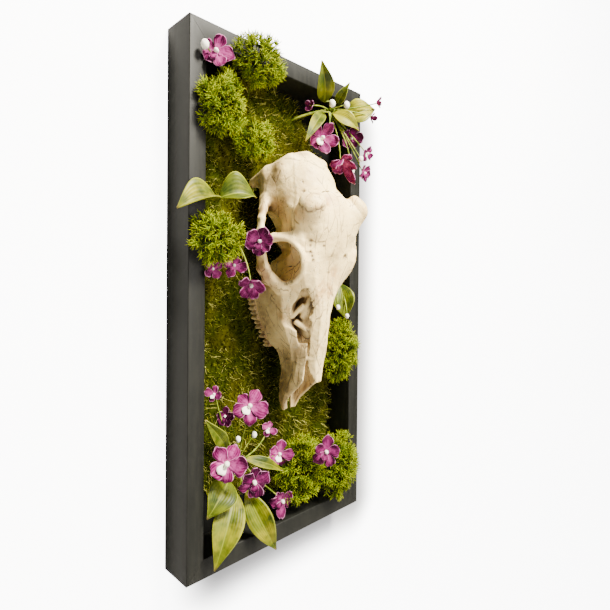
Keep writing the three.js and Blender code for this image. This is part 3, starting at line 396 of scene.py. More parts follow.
# %% Forms of the skull
SKULL_FORMS = [
    ("add", 0, "ball", (0, 54, 44), (36, 39, 42)),
    ("add", 10, "ball", (0, 66, 84), (37, 36, 40)),
    ("add", 8, "ball", (0, 86, 70), (30, 20, 26)),
    ("add", 6, "loft", face_sections()),
    ("cut", 6, "ball", (46, 52, 82), (16, 34, 28)),
    # pedicles where the antlers were shed
    ("add", 8, "cone", (24, 86, 82), (31, 95, 72), 17, 12.5),
    ("add", 8, "cone", (22, 88, 74), (32, 100, 66), 15.5, 10.5),
    ("add", 3, "disc", (33.8, 101.7, 63.8), (0.6, 0.61, -0.51), 12.2, 4.5),
    # nuchal crest, back plate and the processes below it
    ("add", 4, "cone", (0, 56, 28), (20, 55, 28), 17, 16),
    ("add", 8, "cone", (0, 69, 7), (23, 67.5, 13), 4, 3.5),
    ("add", 8, "cone", (23, 67.5, 13), (29, 62, 21), 3.5, 4),
    ("add", 6, "cone", (26, 62, 16), (30, 44, 20), 4, 5),
    ("add", 6, "ball", (0, 42, 22), (31, 26, 13)),
    ("add", 4, "ball", (10, 26, 12), (7, 9, 8)),
    ("add", 4, "cone", (31, 42, 22), (34, 22, 26), 7, 4.5),
    ("add", 3, "cone", (26, 28, 26), (26, 9, 24), 6, 3),
    ("add", 4, "ball", (16, 24, 36), (9, 9, 15)),
    ("add", 4, "cone", (0, 26, 14), (0, 29, 84), 10, 9),
    ("add", 8, "ball", (28, 42, 42), (12, 13, 24)),
    ("cut", 1.5, "cone", (0, 30, 0), (0, 38, 26), 8.5, 8),
    # eye socket and its rim
    ("cut", 2, "ball", (47, 64, 113.5), (24, 21.5, 21.5)),
    ("cut", 4, "ball", (46, 50, 100), (20, 22, 20)),
    ("cut", 3, "ball", (30, 38, 99), (21, 20, 12)),
    ("cut", 3, "ball", (35, 33, 75), (14, 20, 15)),
    ("add", 3, "ring", (45.5, 64.5, 114), (0.92, 0.33, 0.34), 22.6, 2.3),
    ("add", 4, "cone", (38, 84, 93), (50, 62, 91), 5, 4),
    ("add", 3, "cone", (38, 84, 98), (43, 81, 96), 4.5, 3.5),
    ("add", 3, "cone", (50, 62, 91), (55, 47, 94), 4, 4),
    # cheek arch
    ("add", 4, "bar", (38, 41, 48), (45, 45, 60), (6.5, 4), (5, 3)),
    ("add", 3, "bar", (45, 45, 60), (51, 48, 70), (5, 3), (4, 2.6)),
    ("add", 3, "bar", (51, 48, 70), (54, 48.5, 82), (4, 2.6), (3.8, 2.4)),
    ("add", 3, "bar", (54, 48.5, 82), (55, 46.5, 94), (3.8, 2.4), (5.4, 2.6)),
    ("add", 3, "bar", (55, 46.5, 94), (52.5, 45, 118), (5.4, 2.6), (7.4, 3)),
    ("add", 4, "bar", (52.5, 45, 118), (46.5, 46, 129), (7.4, 3), (8.4, 3.6)),
    ("add", 4, "bar", (46.5, 46, 129), (38, 50, 139), (8.4, 3.6), (8, 5)),
    # nose hollow and the opening in front of the socket
    ("cut", 1.5, "ball", (0, 50, 172), (20, 18, 44)),
    ("cut", 1.5, "cone", (22, 69.5, 144.5), (18.5, 61, 160), 5.2, 10.5),
    ("cut", 1.5, "cone", (21, 59, 162), (22, 52, 176), 9.5, 7.5),
    ("cut", 1.5, "cone", (22, 50, 172), (31, 44, 174), 6.5, 5),
    ("add", 3, "ball", (8, 52, 166), (7, 15, 27)),
    # scrolls inside the nose, seen through the opening
    ("add", 2, "cone", (11.5, 64, 152), (13, 54, 168), 3.2, 4.4),
    ("add", 1.5, "cone", (17, 58, 158), (21, 45.5, 167), 2.6, 3.6),
    ("add", 1.5, "cone", (18, 48, 174), (12, 55, 182), 3.4, 3.2),
    ("cut", 1.5, "cone", (0, 40, 200), (0, 32, 275), 11, 11),
    ("add", 1.5, "loft", tip_sections()),
    ("add", 1, "loft", nasal_sections()),
]


# %% Distance functions
def along(q, e):
    return np.clip(q @ e / (e @ e), 0, 1)


def ball(p, centre, radii):
    q = (p - np.array(centre, float)) / np.array(radii, float)
    k0 = np.linalg.norm(q, axis=1)
    k1 = np.linalg.norm(q / np.array(radii, float), axis=1)
    return k0 * (k0 - 1) / np.maximum(k1, 1e-6)


def cone(p, a, b, ra, rb):
    a, b = np.array(a, float), np.array(b, float)
    q, e = p - a, b - a
    t = along(q, e)
    return np.linalg.norm(q - t[:, None] * e, axis=1) - (ra + (rb - ra) * t)


def bar(p, a, b, at_a, at_b):
    a, b = np.array(a, float), np.array(b, float)
    q, e = p - a, b - a
    t = along(q, e)
    half_tall = at_a[0] + (at_b[0] - at_a[0]) * t
    half = at_a[1] + (at_b[1] - at_a[1]) * t
    r = q - t[:, None] * e
    r[:, 1] = np.maximum(0, np.abs(r[:, 1]) - half_tall + half)
    return np.linalg.norm(r, axis=1) - half


def disc(p, centre, axis, radius, half, edge=4.5):
    q = p - np.array(centre, float)
    z = q @ unit(axis)
    x = np.sqrt(np.maximum(0, (q * q).sum(1) - z * z)) - radius + edge
    y = np.abs(z) - half + edge
    return np.hypot(np.maximum(x, 0), np.maximum(y, 0)) + np.minimum(np.maximum(x, y), 0) - edge


def ring(p, centre, axis, radius, thick):
    q = p - np.array(centre, float)
    z = q @ unit(axis)
    return np.hypot(np.sqrt(np.maximum(0, (q * q).sum(1) - z * z)) - radius, z) - thick


def to_polygon(corners, x, y):
    """Signed distance to a polygon, whose corners are pairs of numbers or of arrays.

    Sides on x = 0 don't count, because the other half of the skull is there.
    """
    best = np.full(len(x), 1e9)
    inside = np.zeros(len(x), bool)
    for (ax, ay), (bx, by) in zip([corners[-1]] + corners[:-1], corners):
        ex, ey, qx, qy = bx - ax, by - ay, x - ax, y - ay
        t = np.clip((qx * ex + qy * ey) / np.maximum(ex * ex + ey * ey, 1e-9), 0, 1)
        if np.max(np.abs(ax)) > 0 or np.max(np.abs(bx)) > 0:
            best = np.minimum(best, np.hypot(qx - ex * t, qy - ey * t))
        level = np.where(np.abs(ey) < 1e-9, 1e-9, ey)
        inside ^= ((ay > y) != (by > y)) & (x < ex * (y - ay) / level + ax)
    return np.where(inside, -best, best)


def loft(p, sections):
    u, v, w = p.T
    stops = np.array([s[0] for s in sections], float)
    rows = np.array([s[1] for s in sections], float)
    i = np.clip(np.searchsorted(stops, w) - 1, 0, len(stops) - 2)
    t = np.clip((w - stops[i]) / (stops[i + 1] - stops[i]), 0, 1)[:, None, None]
    outline = rows[i] * (1 - t) + rows[i + 1] * t
    d = to_polygon([(outline[:, k, 0], outline[:, k, 1]) for k in range(rows.shape[1])], u, v)
    e = np.maximum(stops[0] - w, w - stops[-1])
    return np.where((d > 0) & (e > 0), np.hypot(d, e), np.maximum(d, e))


FORMS = {"ball": ball, "cone": cone, "bar": bar, "disc": disc, "ring": ring, "loft": loft}


def combine(d, form, verb, blend):
    """Adds a form to a field or cuts it out, with a rounded join."""
    signed = form if verb == "add" else -form
    h = np.maximum(blend - np.abs(d - signed), 0) / blend if blend else 0
    rounding = h * h * blend / 4
    return np.minimum(d, form) - rounding if verb == "add" else np.maximum(d, -form) + rounding


def skull_field(p):
    mirrored = p * 1.0
    mirrored[:, 0] = np.abs(p[:, 0])
    d = np.full(len(p), 1e6)
    for verb, blend, kind, *sizes in SKULL_FORMS:
        d = combine(d, FORMS[kind](mirrored, *sizes), verb, blend)
    return d


# %% [markdown]
# Dry bone is never quite smooth, and no skull is the same on both sides. A lattice of random numbers,
# smoothly joined, gives the small swellings. The seed is fixed, so every run makes the same bone.

# %% Lattice noise
def lattice_noise(p, size, seed):
    side = 24
    table = np.random.default_rng(seed).uniform(-1, 1, (side, side, side))
    q = p / size + 0.37 * side
    i = np.floor(q).astype(int)
    f = q - i
    f = f * f * (3 - 2 * f)
    total = 0
    for corner in np.ndindex(2, 2, 2):
        weight = np.prod(np.where(np.array(corner), f, 1 - f), axis=1)
        x, y, z = ((i + corner) % side).T
        total = total + weight * table[x, y, z]
    return total


# %% [markdown]
# A field becomes a mesh on a grid. It is worked out roughly first, then exactly in a thin band near
# the surface. Each grid cell that the surface crosses gets one point, and neighbouring cells are
# joined by quads, which gives an even mesh with no poles.

# %% Field to mesh
def axis_points(low, high, step):
    return [np.arange(l, h + step, step) for l, h in zip(low, high)]


def stretched(values, axes, fine_axes):
    """Linear interpolation of grid values on a finer grid."""
    for k in range(3):
        at = np.interp(fine_axes[k], axes[k], np.arange(len(axes[k])))
        i = np.minimum(at.astype(int), len(axes[k]) - 2)
        shape = [1, 1, 1]
        shape[k] = -1
        t = (at - i).reshape(shape)
        values = np.take(values, i, axis=k) * (1 - t) + np.take(values, i + 1, axis=k) * t
    return values


def grid_points(axes):
    return np.stack(np.meshgrid(*axes, indexing="ij"), -1).reshape(-1, 3)


def field_on_grid(field, axes, rough_step=4.0):
    rough_axes = axis_points([a[0] for a in axes], [a[-1] for a in axes], rough_step)
    rough = field(grid_points(rough_axes)).reshape([len(a) for a in rough_axes])
    values = stretched(rough, rough_axes, axes)
    near = np.argwhere(np.abs(values) < 1.6 * rough_step)
    places = np.stack([axes[k][near[:, k]] for k in range(3)], 1)
    values[tuple(near.T)] = field(places)
    return values


def surface_net(values, low, cell):
    inside = values < 0
    shape = np.array(values.shape) - 1
    totals = np.zeros((shape.prod(), 3))
    counts = np.zeros(shape.prod())
    edges = []
    for k in range(3):
        first = [slice(None)] * 3
        second = [slice(None)] * 3
        first[k], second[k] = slice(None, -1), slice(1, None)
        starts = np.argwhere(inside[tuple(first)] != inside[tuple(second)])
        step = np.eye(3, dtype=int)[k]
        a, b = values[tuple(starts.T)], values[tuple((starts + step).T)]
        places = starts + (a / (a - b))[:, None] * step
        i, j = np.eye(3, dtype=int)[(k + 1) % 3], np.eye(3, dtype=int)[(k + 2) % 3]
        around = np.stack([starts, starts - i, starts - i - j, starts - j], 1)
        whole = ((around >= 0) & (around < shape)).all((1, 2))
        around, places, out = around[whole], places[whole], (a < 0)[whole]
        flat = np.ravel_multi_index(tuple(np.moveaxis(around, 2, 0)), shape)
        for c in range(4):
            counts += np.bincount(flat[:, c], minlength=len(counts))
            for axis in range(3):
                totals[:, axis] += np.bincount(flat[:, c], places[:, axis], len(counts))
        edges.append(np.where(out[:, None], flat, flat[:, ::-1]))
    used = counts > 0
    ids = np.cumsum(used) - 1
    points = totals[used] / counts[used][:, None] * cell + low
    return points, ids[np.concatenate(edges)]


def sample(values, low, cell, p):
    """Value of a grid at any points."""
    q = np.clip((p - low) / cell, 0, np.array(values.shape) - 1.001)
    i = q.astype(int)
    f = q - i
    total = 0
    for corner in np.ndindex(2, 2, 2):
        weight = np.prod(np.where(np.array(corner), f, 1 - f), axis=1)
        total = total + weight * values[tuple((i + corner).T)]
    return total


# %% [markdown]
# A skull is many bones that have grown together. Each bone is its own piece: the part of the skull
# inside its region in the side view, which neighbours share so closely that no gap shows between
# them. Their shading follows the whole skull's surface, so that it runs on across the joins.

# %% Regions of the bones, as (w, v) in the side view
FRONT_LINE = [(141, 61), (150, 68), (160, 67.5)]
NASAL_LINE = [(160, 67.5), (168, 66), (182, 59.5), (200, 54), (219.5, 47.7)]
NOSE_LINE = [(219.5, 47.7), (211, 24), (224, -20)]
REGIONS = {
    "braincase": [(-30, -30), (118, -30), (118, 61), (74, 61), (52, 96), (50, 140), (-30, 140)],
    "frontal": [(50, 140), (52, 96), (74, 61), *FRONT_LINE, (146, 78), (146, 140)],
    "maxilla": [(118, -30), (118, 61), *FRONT_LINE, *NASAL_LINE[1:], *NOSE_LINE[1:], (224, -30)],
    "nasal": [(146, 140), (146, 78), *NASAL_LINE, (245, 44), (300, 44), (300, 140)],
    "premaxilla": [(300, 44), (245, 44), *NOSE_LINE, (224, -30), (300, -30)],
}
CHEEK = {"u": 34.0, "v": 61.0, "w": (93.0, 141.0)}
MEETING = 0.03


# %% [markdown]
# The small marks are what make it bone: sutures, cracks, the ridge where the jaw muscle began, and the
# holes where nerves came out. They follow lines read from the photograph, in the skull's own frame.
# Each line cuts a shallow groove and leaves dirt in it, and a little noise makes it wander. The dark
# line round the left pedicle and the dark in and round the holes are painted shade.

# %% Lines, holes, stains and painted shade
LINES = [
    # "both" sides or the "left" alone, depth in mm (a ridge if below 0), width in mm,
    # how dark (dirt in sutures and cracks, painted shade on the pedicle's crease), points (u, v, w)
    ("both", 0.45, 0.75, 0.9, [(0.9, 79.3, 143.2), (6, 77.5, 149), (10.3, 76.1, 154.4), (14.7, 68.6, 162.9)]),
    ("both", 0.5, 0.8, 0.95, [(13, 64, 176), (16.5, 58.5, 182), (12.6, 58, 189), (11.4, 52.5, 210),
                              (12.5, 49.5, 222), (13.4, 46, 232)]),
    ("left", 0.3, 0.7, 0.8, [(4, 105.7, 76), (-0.5, 102.4, 91.3), (-2.4, 98.3, 101.9), (-4.8, 90.7, 114.8),
                             (-2, 83.7, 128.4), (-1, 79.7, 141.3), (0.7, 78.3, 148.2)]),
    ("left", 0.6, 0.7, 1.0, [(0.5, 78.3, 148), (0, 71.5, 182), (0, 59.5, 220), (0, 54, 240)]),
    ("both", 0.4, 0.8, 0.8, [(31, 68, 14), (24, 74, 15.5), (14.6, 80, 16), (6.1, 86.9, 22.7),
                             (0, 89.1, 26.6)]),
    ("both", -0.5, 1.3, 0.45, [(23.8, 73.8, 20.5), (27, 76, 34), (29, 76.9, 47.9), (29.7, 77.3, 56.6),
                               (33, 76, 70), (38.5, 74.5, 83.8)]),
    ("both", 0.35, 0.7, 0.8, [(50, 43.4, 132), (43, 38, 140), (35.3, 31.6, 148), (34, 37, 155),
                              (33.6, 41.9, 160)]),
    ("both", 0.3, 0.6, 0.6, [(41, 66, 134), (34, 62, 142), (32, 56, 150), (31, 48, 160)]),
    ("both", 0.35, 0.7, 0.7, [(11.2, 52.3, 209), (16, 44, 212), (15, 32, 211), (12, 20, 212), (10, 10, 220)]),
    ("left", 0.25, 0.5, 0.7, [(-6.5, 76, 152), (-6, 72, 168), (-7, 66, 190), (-6, 60, 212)]),
    ("left", 0.25, 0.5, 0.6, [(-36, 96, 84), (-30, 95, 92), (-26, 92, 99), (-27, 90, 106)]),
    ("left", 0.25, 0.55, 0.7, [(-16, 92, 48), (-22, 88, 52), (-26, 84, 58), (-27, 82, 66)]),
    # the crease round the left pedicle: its dark line is painted shade
    ("left", 0.7, 1.2, 0.95, [(-27.1, 84, 48), (-28.5, 88, 54), (-36, 92, 62), (-44.9, 95.6, 67.1),
                              (-42.6, 102.4, 74.4), (-37.2, 108.6, 74.4), (-30.5, 112.3, 71)]),
    ("left", 0.25, 0.5, 0.6, [(-20, 28, 206), (-17, 32, 216), (-15, 30, 226), (-14, 22, 238)]),
    ("left", 0.2, 0.5, 0.6, [(-34, 20, 158), (-30, 24, 172), (-26, 30, 186), (-21, 34, 198)]),
]
# place, radius: holes and pits, dark in and round them with painted shade
HOLES = [
    ((-31.8, 92.3, 99), 1.5), ((-31, 90.5, 103), 1.0), ((-30.7, 89.2, 109), 1.3), ((-29, 89, 113), 0.9),
    ((-27.5, 88.9, 117), 1.5), ((-16.7, 94.4, 104), 1.0), ((18.6, 90.5, 113.7), 2.6),
    ((-2, 84.2, 128.4), 1.2),
    ((-40, 68.3, 134.4), 1.7), ((-41.5, 62.6, 136.2), 1.5), ((-6, 92, 92), 0.7), ((-33.4, 24, 176), 1.6),
    ((-24, 82, 40), 0.8), ((-12, 91, 60), 0.8), ((40, 68.3, 134.4), 1.7),
]
# place (u, v, w), radius (mm, or one for each direction), strength; brown stains, and painted shade
# in the hollow below the left pedicle
STAINS_AND_SHADE = [
    ((-12, 40, 205), (9, 14, 16), 0.8),
    ((-16, 25, 215), (8, 12, 20), 0.7),
    ((-10, 12, 245), (10, 14, 22), 0.9),
    ((10, 20, 240), (10, 16, 24), 0.6),
    ((-30, 14, 168), (8, 10, 26), 0.75),
    ((-34, 30, 150), (6, 12, 12), 0.35),
    # the next two: painted shade in the hollow below the left pedicle
    ((-33, 97, 70), (14, 9, 14), 0.85),
    ((-26, 90, 86), (12, 10, 9), 0.7),
    ((40, 102, 66), (8, 12, 14), 0.6),
    ((-12, 76, 6), (10, 8, 7), 0.9),
    ((-34, 50, 30), (8, 20, 14), 0.7),
    ((-34, 56, 62), (8, 12, 12), 0.6),
    ((-24, 84, 36), (8, 8, 16), 0.35),
    ((2, 96, 104), (8, 8, 22), 0.35),
    ((-48, 66, 120), (14, 16, 18), 0.35),
]


def to_line(p, corners):
    """Distance from points to a line through corners in space."""
    best = np.full(len(p), 1e9)
    for a, b in zip(np.array(corners[:-1], float), np.array(corners[1:], float)):
        q, e = p - a, b - a
        best = np.minimum(best, np.linalg.norm(q - along(q, e)[:, None] * e, axis=1))
    return best


def on_bone(corners, steps=6):
    """Points along a line through corners, each moved to the bone's nearest surface."""
    corners = np.array(corners, float)
    middles = (corners[:-1] + corners[1:]) / 2
    p = np.concatenate([np.stack([corners[:-1], middles], 1).reshape(-1, 3), corners[-1:]])
    for _ in range(steps):
        slope = np.stack([skull_field(p + h) - skull_field(p - h) for h in np.eye(3) * 0.4], 1)
        p = p - skull_field(p)[:, None] * unit(slope + 1e-9)
    return p


LAID_LINES = [(side, deep, width, dark, on_bone(corners)) for side, deep, width, dark, corners in LINES]


def line_marks(p):
    """Groove depth of all lines at some points, and how dark they and the holes are: dirt in sutures
    and cracks, painted shade in the pedicle's crease and the holes.
    """
    shift = np.stack([lattice_noise(p, 3.2, seed) for seed in (41, 42, 43)], 1)
    wandered = p + 0.9 * shift
    mirrored = wandered * 1.0
    mirrored[:, 0] = np.abs(wandered[:, 0])
    depth, dirt_and_shade = np.zeros(len(p)), np.zeros(len(p))
    for side, deep, width, dark, corners in LAID_LINES:
        away = to_line(mirrored if side == "both" else wandered, corners)
        depth = depth + deep * np.exp(-(away / width) ** 2)
        dirt_and_shade = np.maximum(dirt_and_shade, dark * np.exp(-(away / (0.9 * width)) ** 2))
    for place, radius in HOLES:
        away = np.linalg.norm(p - np.array(place), axis=1)
        dirt_and_shade = np.maximum(dirt_and_shade, np.clip(1.5 - away / (radius + 0.4), 0, 1))
    return depth, np.clip(dirt_and_shade, 0, 1)


def rough_bone(p):
    """The skull's field with its marks and small swellings."""
    d = skull_field(p) + 0.32 * lattice_noise(p, 9, 1) + 0.14 * lattice_noise(p, 3, 2)
    near = np.flatnonzero(np.abs(d) < 2.5)
    d[near] += line_marks(p[near])[0]
    for place, radius in HOLES:
        away = np.linalg.norm(p[near] - np.array(place), axis=1)
        d[near] = np.maximum(d[near], radius - away)
    return d


# %% Cut the skull into its bones
def skull_to_world(p):
    return (p * np.array([1, -1, -1])) @ SKULL_AXES.T + SKULL_CREST


def bone_values(skull, axes, ripple, name, side):
    """Field of one bone on the skull's grid: the skull, but only inside the bone's own region."""
    v_grid, w_grid = np.meshgrid(axes[1], axes[2], indexing="ij")
    u = axes[0][:, None, None]
    v, w = axes[1][None, :, None], axes[2][None, None, :]
    cheek = np.maximum(CHEEK["u"] - np.abs(u), v - CHEEK["v"])
    cheek = np.maximum(cheek, np.maximum(CHEEK["w"][0] - w, w - CHEEK["w"][1]))
    if name == "zygomatic":
        region = cheek
    else:
        flat = to_polygon(REGIONS[name], w_grid.ravel(), v_grid.ravel()).reshape(v_grid.shape)
        region = np.broadcast_to(flat[None], skull.shape) + ripple
        region = np.maximum(region, -cheek)
    if side:
        region = np.maximum(region, -side * u + 0.4 * ripple)
    return np.maximum(skull, region - MEETING)


def biggest_piece(points, faces):
    """Keeps the largest connected part of a mesh."""
    label = np.arange(len(points))
    while True:
        low = label[faces].min(1)
        new = label.copy()
        for c in range(faces.shape[1]):
            np.minimum.at(new, faces[:, c], low)
        new = new[new]
        if (new == label).all():
            break
        label = new
    keep = label == np.bincount(label[faces[:, 0]]).argmax()
    ids = np.cumsum(keep) - 1
    return points[keep], ids[faces[keep[faces[:, 0]]]]


def read_skull(skull, p):
    return sample(skull, SKULL_LOW, SKULL_CELL, p)


def outward(skull, p, reach=0.8):
    """Direction out of the bone, from the slope of the field on its grid."""
    step = np.eye(3) * reach
    slope = [read_skull(skull, p + s) - read_skull(skull, p - s) for s in step]
    return unit(np.stack(slope, 1) + 1e-9)


def hollowness(skull, p):
    """0 on open bone, towards 1 deep in a hollow: how much of the way out is blocked."""
    out = outward(skull, p)
    total = 0
    for reach, weight in ((2.5, 0.3), (6, 0.3), (12, 0.25), (20, 0.15)):
        clear = read_skull(skull, p + out * reach)
        total = total + weight * np.clip(1 - clear / reach, 0, 1)
    return total


def stain_and_shade_at(p):
    total = np.zeros(len(p))
    for centre, radius, strength in STAINS_AND_SHADE:
        away = np.linalg.norm((p - np.array(centre, float)) / radius, axis=1)
        total = np.maximum(total, strength * np.clip(1.3 - away, 0, 1))
    return total


def make_bones(material):
    axes = axis_points(SKULL_LOW, SKULL_HIGH, SKULL_CELL)
    skull = field_on_grid(rough_bone, axes)
    rough_axes = axis_points(SKULL_LOW, SKULL_HIGH, 2.0)
    wave = lattice_noise(grid_points(rough_axes), 4.5, 3).reshape([len(a) for a in rough_axes])
    ripple = 0.9 * stretched(wave, rough_axes, axes)
    turn = np.array([1, -1, -1])
    for name in ("braincase", "frontal", "zygomatic", "maxilla", "nasal", "premaxilla"):
        for side, tail in ((0, ""),) if name in ("braincase", "frontal") else ((-1, "_left"), (1, "_right")):
            values = bone_values(skull, axes, ripple, name, side)
            points, quads = biggest_piece(*surface_net(values, SKULL_LOW, SKULL_CELL))
            dirt_and_shade = line_marks(points)[1]
            given = {"hollow": hollowness(skull, points), "stain_and_shade": stain_and_shade_at(points), "dirt_and_shade": dirt_and_shade}
            bone = make_object(f"bone_{name}{tail}", skull_to_world(points), quads, values=given)
            bone.data.normals_split_custom_set_from_vertices((outward(skull, points) * turn) @ SKULL_AXES.T)
            dress(bone, material, "bone", f"skull_{name}{tail}")


# %% [markdown]
# The cheek teeth stay in the jaw: six on each side, each with two lobes and sharp, worn cusps along
# its outer edge, as a grazing animal has. They come from a field too, on a grid twice as fine.

# %% Teeth
TOOTH_COUNT = 6
TOOTH_LINE = 0.5
CROWN = 5.4
TOOTH_CELL = 0.5


def teeth_field(p):
    u, v, w = np.abs(p[:, 0]), p[:, 1], p[:, 2]
    best = np.full(len(p), 1e6)
    for i in range(TOOTH_COUNT):
        t = i / (TOOTH_COUNT - 1)
        at_w, at_u = 194 - 52 * t, 18.5 + 14.5 * math.sin(t * math.pi / 2)
        long, wide = 8.6 + 3.0 * t, 6.0 + 3.0 * t
        for lobe in (-0.25, 0.25):
            middle = at_w + lobe * long
            body = np.hypot((u - at_u) / wide, (w - middle) / (0.52 * long)) - 0.5
            outer = (u - at_u) / wide
            stain_and_shade_coat = np.abs(w - middle) / (0.25 * long)
            cusp = 2.4 * np.minimum(stain_and_shade_coat, 1) * (outer > -0.1)
            edge = TOOTH_LINE - CROWN + cusp + 3.0 * np.exp(-(outer / 0.16) ** 2)
            crown = np.maximum(edge - v, v - TOOTH_LINE - 5)
            best = np.minimum(best, np.maximum(body * min(wide, 0.52 * long), crown))
    return best + 0.18 * lattice_noise(p, 1.8, 44)


def make_teeth(material):
    for side, tail in ((-1, "left"), (1, "right")):
        low = np.array([min(side * 12, side * 40), -8.0, 134.0])
        high = np.array([max(side * 12, side * 40), 8.0, 202.0])
        axes = axis_points(low, high, TOOTH_CELL)
        values = teeth_field(grid_points(axes)).reshape([len(a) for a in axes])
        points, quads = surface_net(values, low, TOOTH_CELL)
        # the teeth get a little of the bone's painted shade and dirt all over
        given = {"hollow": 0.15 + 0 * points[:, 0], "stain_and_shade": np.clip((points[:, 1] + 2) / 8, 0, 0.9)}
        teeth = make_object(f"teeth_{tail}", skull_to_world(points), quads, values=given)
        dress(teeth, material, "bone", f"skull_maxilla_{tail}")


# %% Bone finish
def bone_material():
    shade = Shade("dry_bone", roughness=0.55)
    hollow, stain_and_shade, dirt_and_shade = shade.value("hollow"), shade.value("stain_and_shade"), shade.value("dirt_and_shade")
    broad = shade.noise(26, detail=4)
    fine = shade.noise(4.5, detail=5, rough=0.65)
    colour = shade.mix((0.95, 0.71, 0.31), (0.50, 0.29, 0.10), shade.mask(broad, 0.47, 0.78))
    colour = shade.cover(colour, (0.97, 0.82, 0.48), shade.mask(fine, 0.5, 0.75), 0.6)
    # brown stains, and painted shade below the left pedicle, broken up by fine noise
    stain_and_shade_coat = shade.math("MULTIPLY", stain_and_shade, shade.mask(fine, 0.2, 0.58))
    colour = shade.cover(colour, (0.20, 0.105, 0.04), stain_and_shade_coat, 0.9)
    # painted shade and dirt: the bone turns dark brown the more of the way out of a hollow is blocked
    deep = shade.mask(shade.math("ADD", hollow, shade.math("MULTIPLY", fine, 0.25)), 0.28, 0.85)
    colour = shade.cover(colour, (0.11, 0.062, 0.026), deep, 0.92)
    specks = shade.mask(shade.cells(2.4), 0.24, 0.1)
    specks = shade.math("MULTIPLY", specks, shade.mask(shade.noise(9), 0.43, 0.58))
    colour = shade.cover(colour, (0.10, 0.055, 0.022), specks, 0.85)
    cracks = shade.mask(shade.cells(11, "DISTANCE_TO_EDGE", stretch=(1, 1, 0.25)), 0.045, 0.0)
    cracks = shade.math("MULTIPLY", cracks, shade.mask(shade.noise(16), 0.45, 0.56))
    colour = shade.cover(colour, (0.17, 0.10, 0.045), cracks, 0.75)
    # dirt in the sutures and cracks, painted shade in the pedicle's crease and in and round the holes
    grime_and_shade = shade.math("MULTIPLY", dirt_and_shade, shade.mask(shade.noise(3.0, detail=3), 0.2, 0.45))
    colour = shade.cover(colour, (0.055, 0.028, 0.012), grime_and_shade, 0.95)
    shade.bump(shade.noise(1.4, detail=4, rough=0.6), 0.25, 0.5)
    shade.bump(shade.noise(7, detail=3), 1.2, 0.6)
    shade.bump(shade.math("SUBTRACT", 1.0, cracks), 0.3, 0.5)
    return shade.finish(colour)


bone_finish = bone_material()
make_bones(bone_finish)
make_teeth(bone_finish)


# %% [markdown]
# ## Geometry Nodes
# Stems follow paths, needles repeat along twigs and moss strands repeat over a mat. Geometry Nodes
# make all three: a small tree of nodes turns a rough source mesh into many copies. The helpers below
# add nodes to such a tree and turn its result into a plain mesh, so that nothing live is left.

# %% Geometry Nodes helpers
class Growth:
    """A geometry tree with named inputs, whose result is taken as a plain mesh."""

    def __init__(self, name, **inputs):
        self.tree = bpy.data.node_groups.new(name, "GeometryNodeTree")
        self.tree.interface.new_socket("Geometry", in_out="INPUT", socket_type="NodeSocketGeometry")
        self.tree.interface.new_socket("Geometry", in_out="OUTPUT", socket_type="NodeSocketGeometry")
        for key, kind in inputs.items():
            self.tree.interface.new_socket(key, in_out="INPUT", socket_type=f"NodeSocket{kind}")
        self.given = self.tree.nodes.new("NodeGroupInput").outputs
        self.source = self.given["Geometry"]

    def node(self, kind, settings=(), **inputs):
        made = self.tree.nodes.new(kind)
        for key, value in dict(settings).items():
            setattr(made, key, value)
        for key, value in inputs.items():
            socket = made.inputs[int(key[1:])] if key[0] == "_" else made.inputs[key.replace("_", " ")]
            if isinstance(value, bpy.types.NodeSocket):
                self.tree.links.new(value, socket)
            else:
                socket.default_value = value
        return made.outputs

    def math(self, operation, a, b=0.0):
        return self.node("ShaderNodeMath", {"operation": operation}, _0=a, _1=b)[0]

    def random(self, low, high, seed, kind="FLOAT"):
        made = self.tree.nodes.new("FunctionNodeRandomValue")
        made.data_type = kind
        sockets = [s for s in made.inputs if s.enabled]
        for socket, value in zip(sockets[:2], (low, high)):
            socket.default_value = value
        made.inputs["Seed"].default_value = seed
        return next(s for s in made.outputs if s.enabled)

    def end(self, geometry, material):
        real = self.node("GeometryNodeRealizeInstances", Geometry=geometry)[0]
        smooth = self.node("GeometryNodeSetShadeSmooth", Geometry=real)[0]
        done = self.node("GeometryNodeSetMaterial", Geometry=smooth, Material=material)[0]
        self.tree.links.new(done, self.tree.nodes.new("NodeGroupOutput").inputs[0])

    def grow(self, source, name, **inputs):
        modifier = source.modifiers.new("growth", "NODES")
        modifier.node_group = self.tree
        for item in self.tree.interface.items_tree:
            if item.in_out == "INPUT" and item.name in inputs:
                modifier[item.identifier] = inputs[item.name]
        evaluated = source.evaluated_get(bpy.context.evaluated_depsgraph_get())
        mesh = bpy.data.meshes.new_from_object(evaluated)
        bpy.data.objects.remove(source)
        piece = bpy.data.objects.new(name, mesh)
        bpy.context.scene.collection.objects.link(piece)
        return piece


def wire(name, paths, **values):
    """Loose edges along several paths: the source of stems and twigs."""
    mesh = bpy.data.meshes.new(name)
    points = np.concatenate(paths)
    starts = np.cumsum([0] + [len(p) for p in paths])
    edges = [(i, i + 1) for a, b in zip(starts[:-1], starts[1:]) for i in range(a, b - 1)]
    mesh.from_pydata([tuple(p * MM) for p in points], edges, [])
    for key, value in values.items():
        mesh.attributes.new(key, "FLOAT", "POINT").data.foreach_set("value", np.concatenate(value))
    source = bpy.data.objects.new(name, mesh)
    bpy.context.scene.collection.objects.link(source)
    return source


